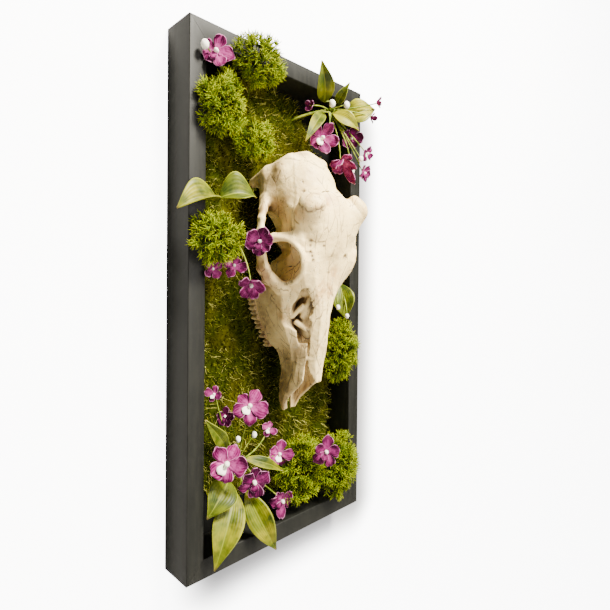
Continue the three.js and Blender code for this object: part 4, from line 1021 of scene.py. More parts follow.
# %% Tree for stems: a round section along every path, as thick as its points say
stem_growth = Growth("stems", Material="Material")
thick = stem_growth.node("GeometryNodeInputNamedAttribute", {"data_type": "FLOAT"}, Name="thick")[0]
line = stem_growth.node("GeometryNodeMeshToCurve", Mesh=stem_growth.source)[0]
line = stem_growth.node("GeometryNodeSetCurveRadius", Curve=line, Radius=thick)[0]
section = stem_growth.node("GeometryNodeCurvePrimitiveCircle", Resolution=8, Radius=1.0)[0]
tube = stem_growth.tree.nodes.new("GeometryNodeCurveToMesh")
print("curve to mesh takes", [s.name for s in tube.inputs])
stem_growth.tree.links.new(line, tube.inputs["Curve"])
stem_growth.tree.links.new(section, tube.inputs["Profile Curve"])
tube.inputs["Fill Caps"].default_value = True
if "Scale" in tube.inputs:
    stem_growth.tree.links.new(thick, tube.inputs["Scale"])
stem_growth.end(tube.outputs[0], stem_growth.given["Material"])


# %% [markdown]
# ## Cloth plants
# Petals and leaves are stamped cloth: thin sheets, stiffened with a wire and curled by hand. Each is
# a grid of points bent by a formula and given a thickness. Two values ride along on every point,
# how far along the petal it lies and how far across, and the dyes follow them.

# %% Sheets, blobs and collected parts
class Collected:
    """Several meshes gathered into one piece, with their point values."""

    def __init__(self, *names):
        self.points, self.faces, self.count = [], [], 0
        self.values = {name: [] for name in names}

    def add(self, points, faces, **values):
        points = np.asarray(points, float)
        self.faces.append(np.asarray(faces, int) + self.count)
        self.points.append(points)
        self.count += len(points)
        for name, kept in self.values.items():
            kept.append(np.broadcast_to(values.get(name, 0.0), len(points)).astype(float))

    def piece(self, name):
        values = {key: np.concatenate(kept) for key, kept in self.values.items()}
        return make_object(name, np.concatenate(self.points), np.concatenate(self.faces), values=values)


def thick_sheet(rows, thick):
    """Closed sheet about a grid of points; its outward side is to the left of rows, seen along columns."""
    n, m, _ = rows.shape
    normal = unit(np.cross(np.gradient(rows, axis=1), np.gradient(rows, axis=0)) + 1e-12)
    points = np.concatenate([(rows + normal * side).reshape(-1, 3) for side in (thick / 2, -thick / 2)])
    top = np.arange(n * m).reshape(n, m)
    low = top + n * m
    a, b, c, d = top[:-1, :-1], top[:-1, 1:], top[1:, 1:], top[1:, :-1]
    faces = [np.stack([a, b, c, d], -1).reshape(-1, 4)]
    faces.append(faces[0][:, ::-1] + n * m)
    for rim, under in ((top[0, ::-1], low[0, ::-1]), (top[-1], low[-1]), (top[:, 0], low[:, 0]),
                       (top[::-1, -1], low[::-1, -1])):
        faces.append(np.stack([rim[:-1], rim[1:], under[1:], under[:-1]], -1))
    return points, np.concatenate(faces)


def grid_quads(ids):
    return np.stack([ids[:-1, :-1], ids[1:, :-1], ids[1:, 1:], ids[:-1, 1:]], -1).reshape(-1, 4)


def blob(centre, radii, axes=np.eye(3), fine=5):
    """Egg-shaped body from a cube whose faces are rounded out, so that it has no poles."""
    points, faces = [], []
    line = np.tan(np.linspace(-1, 1, fine) * math.pi / 4)
    for k in range(3):
        for sign in (-1, 1):
            i, j = np.meshgrid(line, line, indexing="ij")
            face = np.zeros((fine, fine, 3))
            face[..., k], face[..., (k + 1) % 3], face[..., (k + 2) % 3] = sign, i * sign, j
            ids = np.arange(fine * fine).reshape(fine, fine) + len(points) * fine * fine
            points.append(face.reshape(-1, 3))
            faces.append(grid_quads(ids))
    points, ids = np.unique(np.round(unit(np.concatenate(points)), 6), axis=0, return_inverse=True)
    return np.asarray(centre, float) + (points * radii) @ axes, ids.ravel()[np.concatenate(faces)]


def placed(place):
    """[x, distance out from the wall, z] as a point."""
    x, out, z = place
    return np.array([x, -out, z], float)


def looking(face, roll=0.0):
    """Right, up and forward of something that faces a direction given as [x, out, z]."""
    forward = unit(placed(face))
    right = unit(np.cross(forward, [0, 0, 1]))
    up = np.cross(right, forward)
    c, s = math.cos(roll), math.sin(roll)
    return np.array([right * c + up * s, up * c - right * s, forward])


# %% Petals and leaves
def petal(axes, centre, angle, long, wide, cup, curl, ruffle, phase, rows=9, columns=9):
    """Grid of one petal in the flower's own directions: out from the heart at an angle."""
    s = np.linspace(0.03, 1, rows)[:, None]
    t = np.linspace(-1, 1, columns)[None, :]
    half = wide / 2 * (s / 0.6) ** 0.7 * np.where(s < 0.6, 1, (s / 0.6) ** -0.7)
    half = half * np.sqrt(1 - 0.93 * (np.maximum(s - 0.6, 0) / 0.4) ** 2)
    notch = 1 - 0.07 * np.abs(t) ** 2 * s ** 3
    x = half * t
    y = long * s * notch
    z = cup * long * (s ** 1.5) - curl * long * s ** 3.5 + 0.16 * half * t * t
    z = z + ruffle * np.abs(t) ** 1.3 * s * np.sin(8 * s + phase + 3 * t)
    c, d = math.cos(angle), math.sin(angle)
    local = np.stack([x * c - y * d, x * d + y * c, z + 0 * x], -1)
    grid = centre + local @ axes
    return grid, np.broadcast_to(s, (rows, columns)), np.broadcast_to(np.abs(t), (rows, columns))


def add_sheet(parts, rows, thick, **values):
    points, faces = thick_sheet(rows, thick)
    doubled = {key: np.tile(np.ravel(np.broadcast_to(v, rows.shape[:2])), 2) for key, v in values.items()}
    parts.add(points, faces, **doubled)


def leaf_rows(base, tip, width, face, bend=6, fold=0.25, rows=17, columns=11, wave=0.0):
    """Grid of a leaf from base to tip, bowed towards its face, folded along its rib."""
    a, b = placed(base), placed(tip)
    run = b - a
    side = unit(np.cross(run, placed(face)))
    out = unit(np.cross(side, run))
    if out @ placed(face) < 0:
        out = -out
    s = np.linspace(0, 1, rows)[:, None]
    t = np.linspace(-1, 1, columns)[None, :]
    half = 0.5 + width / 2 * np.sin(np.pi * s ** 0.78) ** 1.1
    veins = 0.22 * np.cos(np.pi * 6 * t) * (half / (width / 2))
    lift = bend * 4 * s * (1 - s) + np.abs(t) * half * fold + veins - 0.5 * np.exp(-(t / 0.14) ** 2)
    lift = lift + wave * np.abs(t) * np.sin(7 * s + 2 * np.sign(t))
    grid = a + s[..., None] * run + (half * t)[..., None] * side + lift[..., None] * out
    return grid, np.broadcast_to(s, (rows, columns)), np.broadcast_to(t, (rows, columns))


# %% [markdown]
# The orchids have four to six petals round a small lip and a pale middle. Some look at the viewer,
# some hang and are seen from the side. Places are [x, distance out from the wall, z], as the packed
# model has them, and each flower takes the place of its plain solid.

# %% Flower list
TO_VIEWER = (-0.7, 0.7, 0)
FLOWERS = [
    # node, place, face, radius, turn, petals, cup, tone (0 pale to 1 dark), white lip, spray
    ("flower_top_left", (-96.7, 47.7, 224.5), TO_VIEWER, 17, 0.35, 5, 0.25, 0.5, 0, "top_left"),
    ("flower_top_right_1", (45, 44.7, 181), (-0.5, 0.9, -0.2), 18, 0.5, 5, 0.3, 0.45, 1, "top_right"),
    ("flower_top_right_2", (87, 51.7, 189), (-0.4, 0.8, -0.3), 15, 0.1, 5, 0.3, 0.95, 0, "top_right"),
    ("flower_top_right_3", (66.7, 53.7, 158), (-0.3, 0.5, -0.8), 17, 0.2, 6, 0.75, 0.25, 0, "top_right"),
    ("flower_top_right_4", (100.2, 64.7, 171.7), (0, 0.9, -0.4), 11, 0.7, 5, 0.4, 0.85, 1, "top_right"),
    ("flower_top_right_5", (98.9, 61.7, 148.5), (0.1, 0.9, -0.2), 11, 0.3, 5, 0.4, 0.7, 0, "top_right"),
    ("flower_middle_upper", (-65, 71, 56), (-0.6, 0.8, -0.2), 15, 0.2, 6, 0.4, 0.75, 0, "middle_left"),
    ("flower_middle_side", (-97.5, 44.7, 29.7), (-0.5, 0.9, 0), 10, 0.9, 4, 0.4, 0.4, 0, "middle_left"),
    ("flower_middle_inner", (-76.4, 47.7, 33), (-0.5, 0.9, 0.3), 12, 0.4, 4, 0.3, 0.5, 0, "middle_left"),
    ("flower_middle_lower", (-61.7, 54.7, 16.4), (-0.4, 0.7, -0.6), 15, 0.2, 5, 0.6, 0.35, 0, "middle_left"),
    ("flower_low_1", (-88, 34.7, -87.8), (-0.8, 0.5, 0.5), 9, 0.2, 4, 0.6, 0.6, 1, "low_left"),
    ("flower_low_2", (-58.4, 49.7, -100.8), (-0.5, 0.8, 0.3), 18, 0.55, 5, 0.3, 0.45, 1, "low_left"),
    ("flower_low_3", (-76, 35, -110), TO_VIEWER, 10, 0.1, 5, 0.4, 0.95, 0, "low_left"),
    ("flower_low_4", (-22.3, 34.7, -134), (-0.3, 0.9, 0.3), 9, 0.5, 4, 0.3, 0.4, 1, "low_left"),
    ("flower_low_5", (-6.7, 34.7, -164), (-0.4, 0.8, 0.2), 15, 0.3, 5, 0.35, 0.4, 1, "low_left"),
    ("flower_low_6", (-87, 53.7, -147), (-0.6, 0.8, 0), 20, 0.6, 5, 0.3, 0.2, 1, "low_left"),
    ("flower_low_7", (-50.7, 47.7, -176), (-0.4, 0.8, -0.2), 17, 0.0, 6, 0.2, 0.95, 0, "low_left"),
    ("flower_low_8", (0, 33, -216), (-0.4, 0.8, -0.2), 16, 0.8, 5, 0.35, 0.6, 0, "low_left"),
    ("flower_low_right", (33, 66, -163), (-0.6, 0.8, 0.1), 17, 0.3, 5, 0.35, 0.6, 0, "none"),
]
PETAL_CLOTH = 0.55  # thicknesses of the cloth in mm
LIP_CLOTH = 0.6
BELL_CLOTH = 0.5
LEAF_CLOTH = 0.6
BELL = 4.8  # a bead at least this big is a small bell of four petals, a smaller one is an egg
SPRAYS = {
    # root (x, z), hub [x, out, z], beads: place and radius, leaves: base, tip, width, face, bend,
    # how yellow, and how far folded where it isn't the usual
    "top_left": {
        "root": (-60, 200),
        "hub": (-70, 30, 212),
        "beads": [((-109.2, 47.7, 226.9), 4.6)],
        "leaves": [],
    },
    "top_right": {
        "root": (30, 205),
        "hub": (62, 38, 218),
        "beads": [((109.7, 74.7, 230.5), 5), ((105, 69.7, 212.5), 5), ((25.4, 44.7, 211.5), 5),
                  ((49, 56, 217.4), 4.5), ((75.8, 54, 223.7), 4.5), ((77, 61.7, 147), 4),
                  ((88, 66, 162), 3.6)],
        "leaves": [
            ((52, 41, 224), (25.8, 61.7, 254.8), 20, (-0.6, 0.7, 0.3), 6, 0.5),
            ((72, 42, 226), (68.4, 64.7, 243.8), 10, (-0.6, 0.7, 0), 6, 0.3),
            ((82, 46, 212), (114, 66, 226), 28, (-0.5, 0.8, 0.2), 6, 0.9),
            ((64, 43, 214), (89.5, 61.7, 196), 17, (-0.6, 0.7, 0.2), 6, 1.0),
            ((50, 42, 212), (11.9, 51.7, 168.5), 13, (-0.6, 0.7, 0), 6, 0.5),
        ],
    },
    "middle_left": {
        "root": (-62, 52),
        "hub": (-60, 22, 66),
        "beads": [],
        "leaves": [
            ((-91, 42, 92), (-133.5, 44, 80.5), 30, (-0.1, 0.7, 0.8), 5, 0.7, 0.85),
            ((-90, 42, 95), (-54, 52, 99), 32, (-0.7, 0.6, 0.5), 6, 0.2, 0.7),
            ((-63, 44, 76), (-70, 52, 40), 18, (-0.7, -0.4, 0), 3, 0.6),
        ],
    },
    "right": {
        "root": (84, 30),
        "hub": (86, 34, 22),
        "beads": [((63.5, 54.7, -9), 3), ((79.5, 54.7, -19.5), 3)],
        "leaves": [((86, 38, 18), (88, 46, -24), 26, TO_VIEWER, 7, 0.3)],
    },
    "low_left": {
        "root": (-50, -170),
        "hub": (-58, 30, -160),
        "beads": [((-66, 42, -133), 3.2), ((-48, 44, -132), 3.4)],
        "leaves": [
            ((-74.9, 34, -141), (-103, 42, -107), 13, (-0.4, 0.9, 0.3), 6, 0.4),
            ((-52, 31, -158), (-9.9, 45, -178), 10, (-0.4, 0.7, 0.6), 6, 0.5),
            ((-72, 36, -172), (-103, 46, -196), 28, (-0.5, 0.8, 0.2), 6, 0.3),
            ((-64, 36, -186), (-100, 54, -241), 28, (-0.5, 0.8, 0.2), 8, 0.6),
            ((-50, 34, -190), (-28.4, 56, -249), 24, (-0.5, 0.8, 0.1), 8, 0.6),
        ],
    },
}


# %% Dyes of the petals
def petal_material():
    shade = Shade("dyed_petals", roughness=0.75, Specular_IOR_Level=0.1)
    along_petal, across, tone, white = (shade.value(n) for n in ("along", "across", "tone", "white"))
    fine = shade.noise(2.2, detail=4)
    blotch = shade.noise(7, detail=2)
    deep = shade.mix((0.115, 0.0, 0.050), (0.022, 0.0, 0.010), tone)
    pale = shade.mix((0.46, 0.075, 0.27), (0.13, 0.003, 0.065), tone)
    outer = shade.math("ADD", shade.math("MULTIPLY", along_petal, 0.75), shade.math("MULTIPLY", across, 0.35))
    colour = shade.mix(pale, deep, shade.mask(shade.math("ADD", outer, blotch), 0.75, 1.25))
    streak = shade.math("SINE", shade.math("MULTIPLY", across, 21.0))
    colour = shade.cover(colour, pale, shade.mask(streak, 0.1, 1.0), 0.4)
    veins = shade.mask(shade.noise(2.4, detail=3), 0.5, 0.66)
    colour = shade.cover(colour, deep, veins, 0.6)
    rim = shade.math("MULTIPLY", shade.mask(shade.math("MAXIMUM", across, along_petal), 0.93, 1.0), 0.5)
    colour = shade.mix(colour, (0.62, 0.26, 0.46), rim)
    cream = shade.mix((0.86, 0.82, 0.70), (0.80, 0.60, 0.60), shade.mask(fine, 0.5, 0.8))
    colour = shade.mix(colour, cream, white)
    shade.bump(shade.noise(1.1, detail=3), 0.15, 0.6)
    return shade.finish(colour)


def make_flower(material, node, place, face, radius, roll, count, cup, tone, white):
    parts = Collected("along", "across", "tone", "white")
    axes = looking(face, roll)
    heart = placed(place)
    rng = np.random.default_rng(len(node) + int(radius * 7 + 50 * roll))
    for k in range(count):
        inner = k % 2
        angle = 2 * math.pi * k / count + rng.uniform(-0.14, 0.14)
        long = radius * rng.uniform(0.78, 1.08)
        wide = radius * (0.9 if inner else 0.72) * rng.uniform(0.85, 1.1)
        bent = cup * rng.uniform(0.4, 2.0)
        grid, s, t = petal(axes, heart + axes[2] * (0.7 * inner), angle, long, wide, bent,
                           rng.uniform(-0.1, 0.6), 0.13 * radius, rng.uniform(0, 6))
        shade = np.clip(tone + rng.uniform(-0.3, 0.3), 0, 1)
        add_sheet(parts, grid, PETAL_CLOTH, along=s, across=t, tone=shade)
    # the lip: a short, strongly curled petal, white on some flowers, and a bead above it
    grid, s, t = petal(axes, heart + axes[2] * 1.2, math.pi * (1 + 0.1 * roll), 0.55 * radius,
                       0.5 * radius, 0.9, 0.5, 0.5, 1.0, 7, 7)
    add_sheet(parts, grid, LIP_CLOTH, along=s, across=t, tone=tone, white=float(white))
    points, faces = blob(heart + axes[2] * 0.16 * radius, np.array([0.13, 0.13, 0.2]) * radius, axes)
    parts.add(points, faces, along=0.6, across=0.2, tone=0.3, white=0.9)
    dress(parts.piece(f"orchid_{node[7:]}"), material, "petal", node)


petals = petal_material()
for row in FLOWERS:
    make_flower(petals, *row[:-1])


# %% Dyes of the leaves and stems
def leaf_material():
    shade = Shade("dyed_leaves", roughness=0.45, Specular_IOR_Level=0.18)
    along_leaf, across, yellow = (shade.value(n) for n in ("along", "across", "yellow"))
    side = shade.math("ABSOLUTE", across)
    patches = shade.mask(shade.noise(14, detail=3), 0.35, 0.68)
    colour = shade.mix((0.014, 0.027, 0.0), (0.085, 0.105, 0.0), patches)
    wide = shade.noise(17, detail=3)
    sunny = shade.mask(shade.math("ADD", wide, shade.math("MULTIPLY", yellow, 0.4)), 0.62, 1.0)
    colour = shade.mix(colour, (0.24, 0.22, 0.0), sunny)
    stripe = shade.math("SINE", shade.math("MULTIPLY", across, 34.0))
    colour = shade.cover(colour, (0.07, 0.09, 0.003), shade.mask(stripe, 0.3, 1.0), 0.3)
    colour = shade.cover(colour, (0.24, 0.26, 0.02), shade.mask(side, 0.92, 1.0), 0.8)
    colour = shade.cover(colour, (0.16, 0.18, 0.01), shade.mask(side, 0.08, 0.03), 0.7)
    colour = shade.cover(colour, (0.30, 0.20, 0.05), shade.mask(along_leaf, 0.93, 1.0), 0.5)
    shade.bump(stripe, 0.12, 0.5)
    shade.bump(shade.noise(1.6, detail=3), 0.12, 0.4)
    return shade.finish(colour)


def stem_path(a, b, sag, steps=9):
    """A shallow bow from one place to another."""
    t = np.linspace(0, 1, steps)[:, None]
    return a + (b - a) * t + sag * (4 * t * (1 - t))


def stem_material():
    shade = Shade("cloth_stems", roughness=0.6, Specular_IOR_Level=0.15)
    colour = shade.mix((0.07, 0.11, 0.003), (0.25, 0.28, 0.03), shade.mask(shade.noise(6), 0.4, 0.65))
    shade.bump(shade.noise(0.9), 0.1, 0.5)
    return shade.finish(colour)


STEM_STEPS = 9
STALK = 1.5  # radius of the stalk from the moss to the hub, in mm
STEM = (0.95, 0.6)  # radius of a stem at the hub and at its end


def make_stems(material, name, rng, root, middle, ends):
    paths = [stem_path(np.array([root[0], -4.0, root[1]]), middle, np.array([0, -3.0, 2.0]))]
    for end in ends:
        bow = unit(np.cross(end - middle, [0.3, 1, 0.2])) * rng.uniform(-5, 5) + np.array([0, -3.0, 0])
        paths.append(stem_path(middle, end, bow))
    radii = [np.full(STEM_STEPS, STALK * MM)] + [np.linspace(*STEM, STEM_STEPS) * MM for _ in ends]
    source = wire(f"paths_{name}", paths, thick=radii)
    dress(stem_growth.grow(source, f"stems_{name}", Material=material), material, "leaf", f"spray_{name}")


def make_leaves(material, name, leaves):
    parts = Collected("along", "across", "yellow")
    for base, tip, width, face, bend, yellow, *fold in leaves:
        grid, s, t = leaf_rows(base, tip, width, face, bend, *fold, wave=0.8)
        add_sheet(parts, grid, LEAF_CLOTH, along=s, across=t, yellow=yellow)
    dress(parts.piece(f"leaves_{name}"), material, "leaf", f"spray_{name}")


def make_buds(material, name, rng, middle, beads):
    parts = Collected("along", "across", "tone", "white")
    for place, radius in beads:
        end = placed(place)
        if radius < BELL:
            points, faces = blob(end, np.array([0.8, 0.8, 1.0]) * radius)
            parts.add(points, faces, along=0.8, across=0.3, tone=0.6, white=1.0)
            continue
        away = end - middle
        axes = looking((away[0], -away[1], away[2]), rng.uniform(0, 3))
        for k in range(4):
            cup = rng.uniform(0.9, 1.5)
            grid, s, t = petal(axes, end - axes[2] * 0.6 * radius, math.pi / 2 * k, 1.25 * radius,
                               1.2 * radius, cup, 0.35, 0.1 * radius, rng.uniform(0, 6), 7, 7)
            add_sheet(parts, grid, BELL_CLOTH, along=s, across=t, tone=rng.uniform(0.4, 0.9))
    dress(parts.piece(f"buds_{name}"), material, "petal", f"spray_{name}")


def make_spray(leaf_finish, stem_finish, petal_finish, name, root, hub, beads, leaves):
    """Stems from a hub to this spray's flowers, beads and leaves, and the beads and leaves themselves."""
    rng = np.random.default_rng(len(name) * 13)
    middle = placed(hub)
    ends = [placed(place) - 0.1 * radius * unit(placed(face))
            for _, place, face, radius, *_, spray in FLOWERS if spray == name]
    ends += [placed(place) for place, _ in beads]
    ends += [placed(base) for base, *_ in leaves]
    make_stems(stem_finish, name, rng, root, middle, ends)
    if leaves:
        make_leaves(leaf_finish, name, leaves)
    if beads:
        make_buds(petal_finish, name, rng, middle, beads)


leaf_finish, stem_finish = leaf_material(), stem_material()
for name, spray in SPRAYS.items():
    make_spray(leaf_finish, stem_finish, petals, name, **spray)


# %% [markdown]
# ## Ferns
# Each fern is a stalk with a burst of twigs, and every twig carries short fleshy needles in a spiral,
# like a bottle brush. A needle turns by the golden angle from the one before, so that no rows show.
# The tree below puts one needle shape on every point of a resampled twig, and keeps how far out it is.

# %% Needle and tree for ferns
def hidden_object(points, faces, **values):
    """A source shape for instances; it is removed when the pieces are made."""
    shape = make_object("source_shape", points, faces, values=values)
    shape.hide_render = True
    return shape


def tube_faces(rings, sides):
    """Quads between the neighbouring rings of a tube."""
    i, k = np.divmod(np.arange((rings - 1) * sides), sides)
    after = (k + 1) % sides
    return np.stack([i * sides + k, i * sides + after, (i + 1) * sides + after, (i + 1) * sides + k], 1)


def needle_shape(long=6.0, thick=0.5, sides=3, rings=3):
    points, tips = [], []
    for i in range(rings):
        s = i / rings
        for k in range(sides):
            angle = 2 * math.pi * k / sides
            r = thick * (1 - s) ** 0.6
            points.append((r * math.cos(angle), r * math.sin(angle) + 0.8 * s * s, long * s))
            tips.append(s)
    points.append((0, 0.8, long))
    last = (rings - 1) * sides
    caps = [(last + k, last + (k + 1) % sides, len(points) - 1) for k in range(sides)] + [(2, 1, 0)]
    return hidden_object(points, [tube_faces(rings, sides), np.array(caps)], tip=tips + [1.0])


GOLDEN = math.pi * (3 - math.sqrt(5))
fern_growth = Growth("fern", Needle="Object", Material="Material", Spacing="Float", Tilt="Float")
g = fern_growth
twigs = g.node("GeometryNodeMeshToCurve", Mesh=g.source)[0]
even = g.tree.nodes.new("GeometryNodeResampleCurve")
even.mode = "LENGTH"
g.tree.links.new(twigs, even.inputs["Curve"])
g.tree.links.new(g.given["Spacing"], even.inputs["Length"])
tangent = g.node("GeometryNodeInputTangent")[0]
axis = g.node("FunctionNodeAlignRotationToVector", {"axis": "Z"}, Vector=tangent)[0]
twist = g.math("MULTIPLY", g.node("GeometryNodeInputIndex")[0], GOLDEN)
lean = g.math("ADD", g.given["Tilt"], g.random(-0.25, 0.25, 5))
own = g.node("FunctionNodeEulerToRotation", _0=g.node("ShaderNodeCombineXYZ", X=lean, Z=twist)[0])[0]
both = g.node("FunctionNodeRotateRotation", {"rotation_space": "LOCAL"}, _0=axis, _1=own)[0]
grown = g.node("GeometryNodeInputNamedAttribute", {"data_type": "FLOAT"}, Name="size")[0]
size = g.math("MULTIPLY", grown, g.random(0.75, 1.2, 9))
needle = g.node("GeometryNodeObjectInfo", Object=g.given["Needle"])["Geometry"]
copies = g.node("GeometryNodeInstanceOnPoints", Points=even.outputs[0], Instance=needle, Rotation=both,
                Scale=size)[0]
ring = g.node("GeometryNodeCurvePrimitiveCircle", Resolution=5, Radius=0.4 * MM)[0]
stalks = g.node("GeometryNodeCurveToMesh", Curve=twigs, Profile_Curve=ring, Fill_Caps=True)[0]
joined = g.tree.nodes.new("GeometryNodeJoinGeometry")
g.tree.links.new(copies, joined.inputs[0])
g.tree.links.new(stalks, joined.inputs[0])
g.end(joined.outputs[0], g.given["Material"])


# %% [markdown]
# The finer pieces carry a second map, in which every needle or strand is a tiny patch at the place of
# its root. A picture baked into that map then keeps one plain colour on each of them.

# %% Patch map
PATCH = 0.003


def patch_map(mesh, root, across):
    """A UV map: each point lies at its root's place, and a patch away along its own length."""
    layer = mesh.uv_layers.new(name="OFBake")
    loops = np.zeros(len(mesh.loops), int)
    mesh.loops.foreach_get("vertex_index", loops)
    layer.data.foreach_set("uv", (root + across * PATCH)[loops].ravel())


def read_values(mesh, name):
    values = np.zeros(len(mesh.vertices))
    if name in mesh.attributes:
        mesh.attributes[name].data.foreach_get("value", values)
    return values


def read_points(mesh):
    points = np.zeros(len(mesh.vertices) * 3)
    mesh.vertices.foreach_get("co", points)
    return points.reshape(-1, 3) / MM


# %% Ferns in their places
FERNS = {
    # bursts: root (x, z), middle [x, out, z], reach [x, out, z], twigs; and the seed
    "top_outer": ([((-30, 210), (-55, 56, 228), (30, 22, 27), 60)], 3),
    "top_left": ([((-70, 170), (-91, 47, 180), (26, 16, 33), 60)], 4),
    "top_inner": ([((-30, 158), (-41, 32, 163), (27, 14, 23), 44)], 5),
    "middle_left": ([((-92, 66), (-99, 52, 57), (30, 17, 26), 50)], 6),
    "right": ([((76, -58), (81, 42, -61), (27, 22, 40), 60)], 7),
    "low_right": ([((44, -190), (24, 32, -188), (36, 26, 40), 66),
                   ((60, -190), (70, 49, -191), (35, 20, 40), 66)], 8),
}
BRANCHLETS = 6
NEEDLE_SPACING = 1.15
NEEDLE_TILT = 0.72


def fern_material():
    shade = Shade("fern_needles", roughness=0.65, Specular_IOR_Level=0.08)
    tip, outer = shade.value("tip"), shade.value("outer")
    # painted shade: the needles darken to near black towards the middle of each bush, and their yellow tips
    # show only on the outer ones
    colour = shade.mix((0.004, 0.008, 0.0), (0.035, 0.060, 0.0), shade.mask(outer, 0.3, 0.8))
    colour = shade.mix(colour, (0.10, 0.145, 0.0), shade.mask(outer, 0.68, 1.0))
    bright = shade.math("MULTIPLY", shade.mask(tip, 0.2, 1.0), shade.mask(outer, 0.45, 0.9))
    colour = shade.cover(colour, (0.42, 0.46, 0.0), bright, 0.85)
    green = shade.mask(shade.noise(16, detail=2), 0.5, 0.7)
    colour = shade.cover(colour, (0.06, 0.11, 0.002), green, 0.5)
    shade.bump(shade.noise(0.7), 0.08, 0.5)
    return shade.finish(colour)


def burst_paths(rng, root, middle, reach, twigs):
    """A stalk, twigs to all sides of it, and a few short branchlets at the end of every twig."""
    centre, reach = placed(middle), np.array(reach)
    start = np.array([root[0], -4.0, root[1]])
    steps = 9
    paths = [stem_path(start, centre, np.array([0, 0, 3.0]), steps)]
    sizes, shares = [np.zeros(steps)], [np.zeros(steps)]
    for i in range(twigs):
        out = -0.45 + 1.43 * (i + 0.5) / twigs
        flat = math.sqrt(1 - min(out, 0.98) ** 2)
        angle = i * GOLDEN + rng.uniform(-0.2, 0.2)
        way = np.array([flat * math.cos(angle), -out, flat * math.sin(angle)])
        clump = 0.5 + 0.5 * math.sin(4.0 * angle + 3.0 * math.sin(5.0 * out + middle[0]))
        far = rng.uniform(0.36, 0.5) + 0.36 * clump
        fork = centre + way * reach * far
        base = centre + (start - centre) * rng.uniform(0.0, 0.3)
        droop = unit(np.cross(fork - base, rng.normal(size=3))) * rng.uniform(1, 3)
        paths.append(stem_path(base, fork, droop, steps))
        sizes.append(np.linspace(0, 0.75, steps) ** 2)
        shares.append(np.full(steps, i / twigs))
        for _ in range(BRANCHLETS):
            turn = unit(way + 0.8 * unit(rng.normal(size=3)))
            end = fork + turn * rng.uniform(7.0, 14.0)
            inside = np.linalg.norm((end - centre) / reach)
            limit = 0.66 + 0.32 * clump
            if inside > limit:
                end = centre + (end - centre) * limit / inside
            paths.append(stem_path(fork, end, unit(rng.normal(size=3)) * 0.8, 5))
            sizes.append(np.array([0.45, 0.8, 1.0, 0.95, 0.7]) * rng.uniform(0.85, 1.15))
            shares.append(np.full(5, i / twigs))
    return paths, sizes, shares


def make_fern(material, needle_object, name, bursts, seed):
    rng = np.random.default_rng(seed)
    for number, burst in enumerate(bursts):
        paths, sizes, shares = burst_paths(rng, *burst)
        source = wire(f"twigs_{name}", paths, size=sizes, twig=shares)
        piece = fern_growth.grow(source, f"fern_bush_{name}_{number + 1}", Needle=needle_object,
                                 Material=material, Spacing=NEEDLE_SPACING * MM, Tilt=NEEDLE_TILT)
        points = read_points(piece.data)
        points[:, 1] = np.minimum(points[:, 1], -5.0)
        piece.data.vertices.foreach_set("co", (points * MM).ravel())
        outer = np.linalg.norm((points - placed(burst[1])) / np.array(burst[2]), axis=1)
        piece.data.attributes.new("outer", "FLOAT", "POINT").data.foreach_set("value", outer)
        twig, tip = read_values(piece.data, "twig"), read_values(piece.data, "tip")
        patch_map(piece.data, np.stack([0.02 + 0.95 * twig, 0.02 + 0.9 * np.clip(outer, 0, 1)], 1),
                  np.stack([tip, tip], 1))
        dress(piece, material, "fern", f"fern_{name}")


needle_object = needle_shape()
fern_finish = fern_material()
for name, fern in FERNS.items():
    make_fern(fern_finish, needle_object, name, *fern)
bpy.data.objects.remove(needle_object)


# %% [markdown]
# ## Moss
# Dried moss is a felt of short curled threads with paler straw among it. A lumpy mat is the ground,
# cut to a ragged outline. Over it two kinds of strand are scattered, short and curly or long and
# straw coloured, each turned at random on the mat's own slope.

# %% Moss mat
FRAME_WIDTH, FRAME_HEIGHT, FRAME_DEPTH = 239.5, 508.0, 39.7
SIDE_RAIL, END_RAIL, BOARD = 17.5, 18.5, 3.0
INNER_X = FRAME_WIDTH / 2 - SIDE_RAIL
INNER_Z = FRAME_HEIGHT / 2 - END_RAIL


MOSS_LUMPS = [(1.8, 22, 22), (1.1, 8, 23), (0.7, 3.5, 24)]  # height, width, seed


def moss_outline():
    left, right, top, bottom = -INNER_X + 0.5, INNER_X - 0.5, INNER_Z - 0.5, -INNER_Z
    return [(left, top - 34), (left, bottom + 52), (left + 60, bottom + 26), (right, bottom + 12),
            (right, 20), (right - 6, 110), (right - 26, 168), (right - 44, 204), (right - 62, top),
            (left + 40, top)]


def moss_height(x, z):
    """How far the mat's face is from the wall: lumpy inside, thin at the ragged edge."""
    flat = np.stack([x, 0 * x, z], 1)
    inside = -to_polygon(moss_outline(), x, z) + 3 * lattice_noise(flat, 11, 21)
    lumps = sum(tall * lattice_noise(flat, wide, seed) for tall, wide, seed in MOSS_LUMPS)
    return inside, BOARD + 0.3 + np.clip(inside / 9, 0, 1) ** 0.5 * (4.2 + lumps)


